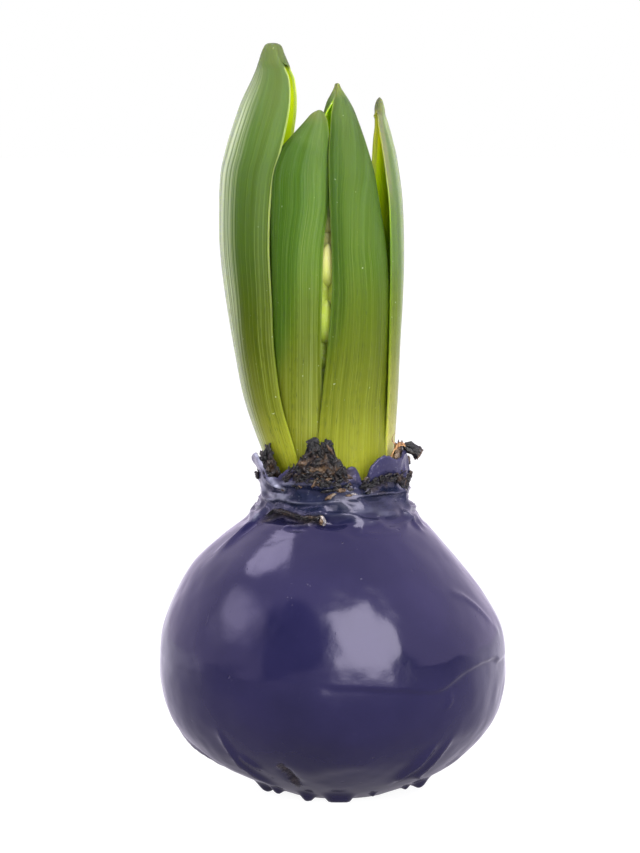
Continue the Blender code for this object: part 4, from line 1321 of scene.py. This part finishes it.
# Sizes of the set, in metres.
FLOOR_SIZE = 3.0
PANEL_DISTANCE = 0.6
FILL_DISTANCE = 0.7
FILL_SIZE = 0.5
SQUARE = [(-1, -1), (1, -1), (1, 1), (-1, 1)]


def set_piece(name, corners, faces, shader):
    """A mesh of the studio, which is no part of the object."""
    mesh = bpy.data.meshes.new(name)
    mesh.from_pydata(corners, [], faces)
    mesh.materials.append(shader.owner)
    obj = linked(name, mesh)
    obj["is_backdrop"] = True
    return obj


def stand_off(obj, aim, azimuth, elevation, distance):
    """Turns an object to what it looks at. Azimuth 0 is in front, and 90 is on the right."""
    a, e = math.radians(azimuth), math.radians(elevation)
    back = Vector((math.sin(a) * math.cos(e), -math.cos(a) * math.cos(e), math.sin(e)))
    obj.location = aim + back * distance
    obj.rotation_mode = "QUATERNION"
    obj.rotation_quaternion = (-back).to_track_quat("-Z", "Y")


def add_floor(foot):
    """A plain pale floor, lit like a table with its light behind the object."""
    s = new_shader("pale_floor")
    glow = s.out("Emission", {"Color": (1, 1, 1), "Strength": 0.93})
    pale = s.out("BsdfDiffuse", {"Color": (0.16, 0.16, 0.16)})
    lit = s.ease(s.parts(s.place())[1], -0.1, 0.16, 0, 1.08)
    lit = s.out("Emission", {"Color": (0.92, 0.88, 1), "Strength": lit})
    dim = s.out("BsdfDiffuse", {"Color": (0.23, 0.22, 0.25)})
    seen = s.new("LightPath").outputs["Is Camera Ray"]
    base, shown = s.out("AddShader", {0: lit, 1: dim}), s.out("AddShader", {0: glow, 1: pale})
    s.end(s.out("MixShader", {0: seen, 1: base, 2: shown}))
    corners = [(x * FLOOR_SIZE, y * FLOOR_SIZE, foot) for x, y in SQUARE]
    set_piece("floor", corners, [(0, 1, 2, 3)], s)


def add_world():
    """White to the camera. For the object it is dim in front, and bright behind and above."""
    world = bpy.data.worlds.new("studio")
    bpy.context.scene.world = world
    s = Shader(world)
    x, y, z = s.parts(s.new("TexCoord").outputs["Generated"])
    turned = s.math("ARCTAN2", x, s.times(y, -1))
    left, right, blur = math.radians(-53), math.radians(46), math.radians(6)
    top, over = math.sin(math.radians(60)), math.sin(math.radians(50))
    sides = s.ease(turned, left - blur, left + blur)
    sides = s.times(sides, s.ease(turned, right + blur, right - blur))
    dark = s.times(sides, s.ease(z, top, over))
    level = s.plus(s.ease(y, -0.4, 0.9, 0.88, 1.12), s.ease(x, 0.2, 0.9, 0, 0.28))
    glow = s.times(level, s.math("SUBTRACT", 1, s.times(dark, 0.95)))
    around = s.out("Background", {"Color": (1.02, 0.91, 1.17), "Strength": glow})
    white = s.tree.nodes["Background"]
    s.put(white.inputs["Color"], (1, 1, 1))
    s.put(white.inputs["Strength"], 1)
    seen = s.new("LightPath").outputs["Is Camera Ray"]
    s.end(s.out("MixShader", {0: seen, 1: around, 2: white.outputs[0]}))


def add_window(foot, radiance):
    """A tall bright window in front on the right, and the light that it lays on the table."""
    s = new_shader("window_light")
    s.end(s.out("Emission", {"Color": (1, 1, 1), "Strength": radiance}))
    corners = [
        (0.008, -0.478, 0), (0.27, -0.392, 0), (0.5, -0.312, 0.84), (-0.044, -0.478, 0.6),
        (0.02, -0.33, 0.0004), (0.17, -0.24, 0.0004), (0.27, -0.392, 0.0004),
        (0.008, -0.478, 0.0004),
    ]
    corners = [(x, y, z + foot) for x, y, z in corners]
    set_piece("window", corners, [(3, 2, 1, 0), (4, 5, 6, 7)], s).visible_camera = False


def add_soft_panel(name, aim, azimuth, elevation, size, radiance, soft):
    """A glowing panel that fades out to its edges."""
    s = new_shader(name + "_light")
    x, y, _ = (s.math("ABSOLUTE", part) for part in s.parts(s.place()))
    fade = s.times(s.ease(x, 0.5, 0.5 - soft, 0, radiance), s.ease(y, 0.5, 0.5 - soft))
    light = s.out("Emission", {"Color": (0.88, 0.84, 1), "Strength": fade})
    s.end(s.out("AddShader", {0: light, 1: s.out("BsdfTransparent")}))
    corners = [(0.5 * x, 0.5 * y, 0) for x, y in SQUARE]
    panel = set_piece(name, corners, [(0, 1, 2, 3)], s)
    panel.scale = (*size, 1)
    stand_off(panel, aim, azimuth, elevation, PANEL_DISTANCE)
    panel.visible_camera = False


def add_fill(name, aim, azimuth, elevation, radiance):
    """A soft fill that the glossy wax doesn't mirror."""
    data = bpy.data.lights.new(name, "AREA")
    data.shape = "SQUARE"
    data.size = FILL_SIZE
    data.energy = radiance * math.pi * data.size**2
    lamp = linked(name, data)
    stand_off(lamp, aim, azimuth, elevation, FILL_DISTANCE)
    lamp.visible_camera = False
    lamp.visible_glossy = False


def add_camera(aim, distance, elevation):
    data = bpy.data.cameras.new("camera")
    data.sensor_width = 36
    data.lens = FOCAL_LENGTH / FRAME_HEIGHT * data.sensor_width
    data.clip_start, data.clip_end = 0.01, 20
    camera = linked("camera", data)
    stand_off(camera, aim, 0, elevation, distance)
    bpy.context.scene.camera = camera


# ------ all of it

# Leaf colours from the neck, 0, to the highest tip, 1: the back of a leaf, and its inside,
# with the inside's own colour low down and painted light shining through the leaf higher up.
GREEN = [
    (0.04, (0.3, 0.3, 0.02)), (0.155, (0.22, 0.235, 0.016)), (0.245, (0.132, 0.155, 0.008)),
    (0.355, (0.075, 0.104, 0.003)), (0.46, (0.053, 0.092, 0.0015)), (0.54, (0.044, 0.093, 0.005)),
    (0.67, (0.043, 0.096, 0.007)), (0.8, (0.051, 0.105, 0.012)), (0.945, (0.072, 0.112, 0.025)),
]
INNER_THROUGH_LIT = [
    (0, (0.32, 0.34, 0.03)), (0.35, (0.08, 0.13, 0.004)), (0.6, (0.1, 0.17, 0.004)),
    (0.72, (0.26, 0.38, 0.006)), (0.85, (0.55, 0.66, 0.012)), (1, (0.5, 0.58, 0.02)),
]


def tinted(stops, gains):
    """A colour ramp with each stop made brighter or darker."""
    return [(at, tuple(c * k for c in colour)) for (at, colour), k in zip(stops, gains)]


# Fold: share, softness and colour of the painted shade on one side of a crease. Sheen lines:
# place across, half width and share of pale lines painted up the back as a glancing reflection.
# Rim: width, share, colour, and the heights between which it comes in. Tip: length, share,
# colour. Hood: how far down the tip the leaf is closed.
LOOK = {
    "outer": GREEN,
    "inner": INNER_THROUGH_LIT,
    "pale": (0.26, 0.33, 0.075),
    "deep": (0.014, 0.042, 0.001),
    "bloom": (0.105, 0.18, 0.065),
    "fold": (0, 1, (0, 0, 0)),
    "keel": (0.5, 0.1, 0),
    "rim": (0.3, 0.22, (0.3, 0.38, 0.1), 0, 0.1),
    "tip": (2.5, 0.4, (0.14, 0.14, 0.06)),
    "hood": 0.3,
}
# Where a leaf differs from that.
LOOKS = {
    "leaf_left": {
        "outer": tinted(GREEN, (1.34, 1.02, 0.72, 0.62, 0.6, 0.6, 0.64, 0.8, 0.8)),
        "hood": 4,
        "rim": (0.36, 0.55, (0.36, 0.44, 0.14), 0.34, 0.66),
        "keel": (0.6, 0.2, 0.84),
        "tip": (5.5, 0.4, (0.115, 0.13, 0.045)),
    },
    "leaf_front_left": {
        "outer": tinted(GREEN, (0.92, 0.9, 0.84, 0.92, 1.05, 1.2, 1.2, 0.96, 0.88)),
        "fold": (0.85, 2.2, (0.022, 0.07, 0.0004)),
        "keel": (0.8, 0.2, 0.05),
        "tip": (3, 0.5, (0.15, 0.16, 0.06)),
    },
    "leaf_front_right": {
        "outer": tinted(GREEN, (0.98, 0.9, 0.84, 0.86, 0.94, 1, 0.92, 0.73, 0.74)),
        "hood": 0.8,
        "rim": (0.26, 0.2, (0.3, 0.4, 0.11), 0.3, 0.6),
        "fold": (0.55, 1.6, (0.02, 0.06, 0.005)),
        "tip": (3, 0.6, (0.22, 0.24, 0.065)),
        # The inside, brightened with painted light that shines through the leaf.
        "inner": [
            (0, (0.3, 0.32, 0.03)), (0.4, (0.06, 0.12, 0.003)), (0.7, (0.3, 0.5, 0.004)),
            (0.9, (0.6, 0.85, 0.008)),
        ],
    },
    "leaf_right": {
        "hood": 1.6,
        "rim": (1.05, 0.5, (0.2, 0.18, 0.12), 0.62, 0.73),
        "keel": (0.32, 0.22, 0.6),
        "tip": (4.5, 0.65, (0.12, 0.125, 0.045)),
        "bloom": (0.2, 0.21, 0.14),
        "outer": [
            (at, (r * (2.1 - 1.2 * at), g * (1.85 - 1.05 * at), b * (8 - 7.2 * at)))
            for at, (r, g, b) in GREEN
        ],
        # The inside, brightened with painted light that shines through the leaf.
        "inner": [
            (0, (0.32, 0.34, 0.03)), (0.4, (0.08, 0.14, 0.002)), (0.58, (0.1, 0.19, 0.002)),
            (0.7, (0.4, 0.54, 0.003)), (0.8, (0.84, 0.86, 0.012)), (0.86, (0.86, 0.84, 0.06)),
            (1, (0.3, 0.3, 0.06)),
        ],
    },
    "leaf_back": {},
}


def main():
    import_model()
    cad_low, cad_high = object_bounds()

    dry = tunic_material()
    seat_piece(make_wax_coat(), ["wax_coat"], wax_material())
    seat_piece(make_tunic(), ["bulb"], dry)
    seat_piece(make_crumbs(), [], dry)
    seat_piece(make_stub(), [], dry)
    seat_piece(make_strand(), [], strand_material())
    for i, (name, rows) in enumerate(LEAVES.items()):
        skin = leaf_material(name + "_flesh", {**LOOK, **LOOKS[name]}, 3.7 * i)
        seat_piece(make_leaf(name, rows), [name], skin)
    seat_piece(make_spike(), ["flower_spike"], bud_material())

    scene = bpy.context.scene
    scene.view_settings.view_transform = "Standard"
    scene.view_settings.look = "None"
    foot = cad_low.z
    bulb, leaves = Vector((0, 0, foot + 0.03)), Vector((0, 0, foot + 0.08))
    add_floor(foot)
    add_world()
    add_window(foot, radiance=8.4)
    add_soft_panel("overhead", bulb, -105, 60, size=(0.2, 0.16), radiance=4.9, soft=0.16)
    add_soft_panel("side", bulb, -74, 30, size=(0.4, 0.36), radiance=3.2, soft=0.42)
    add_fill("fill_front", leaves, -38, 12, radiance=2.2)
    add_fill("fill_left", leaves, -98, 12, radiance=3.4)
    add_camera(Vector((-0.0022, 0, foot + 0.0678)), distance=0.75, elevation=6)

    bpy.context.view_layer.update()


main()
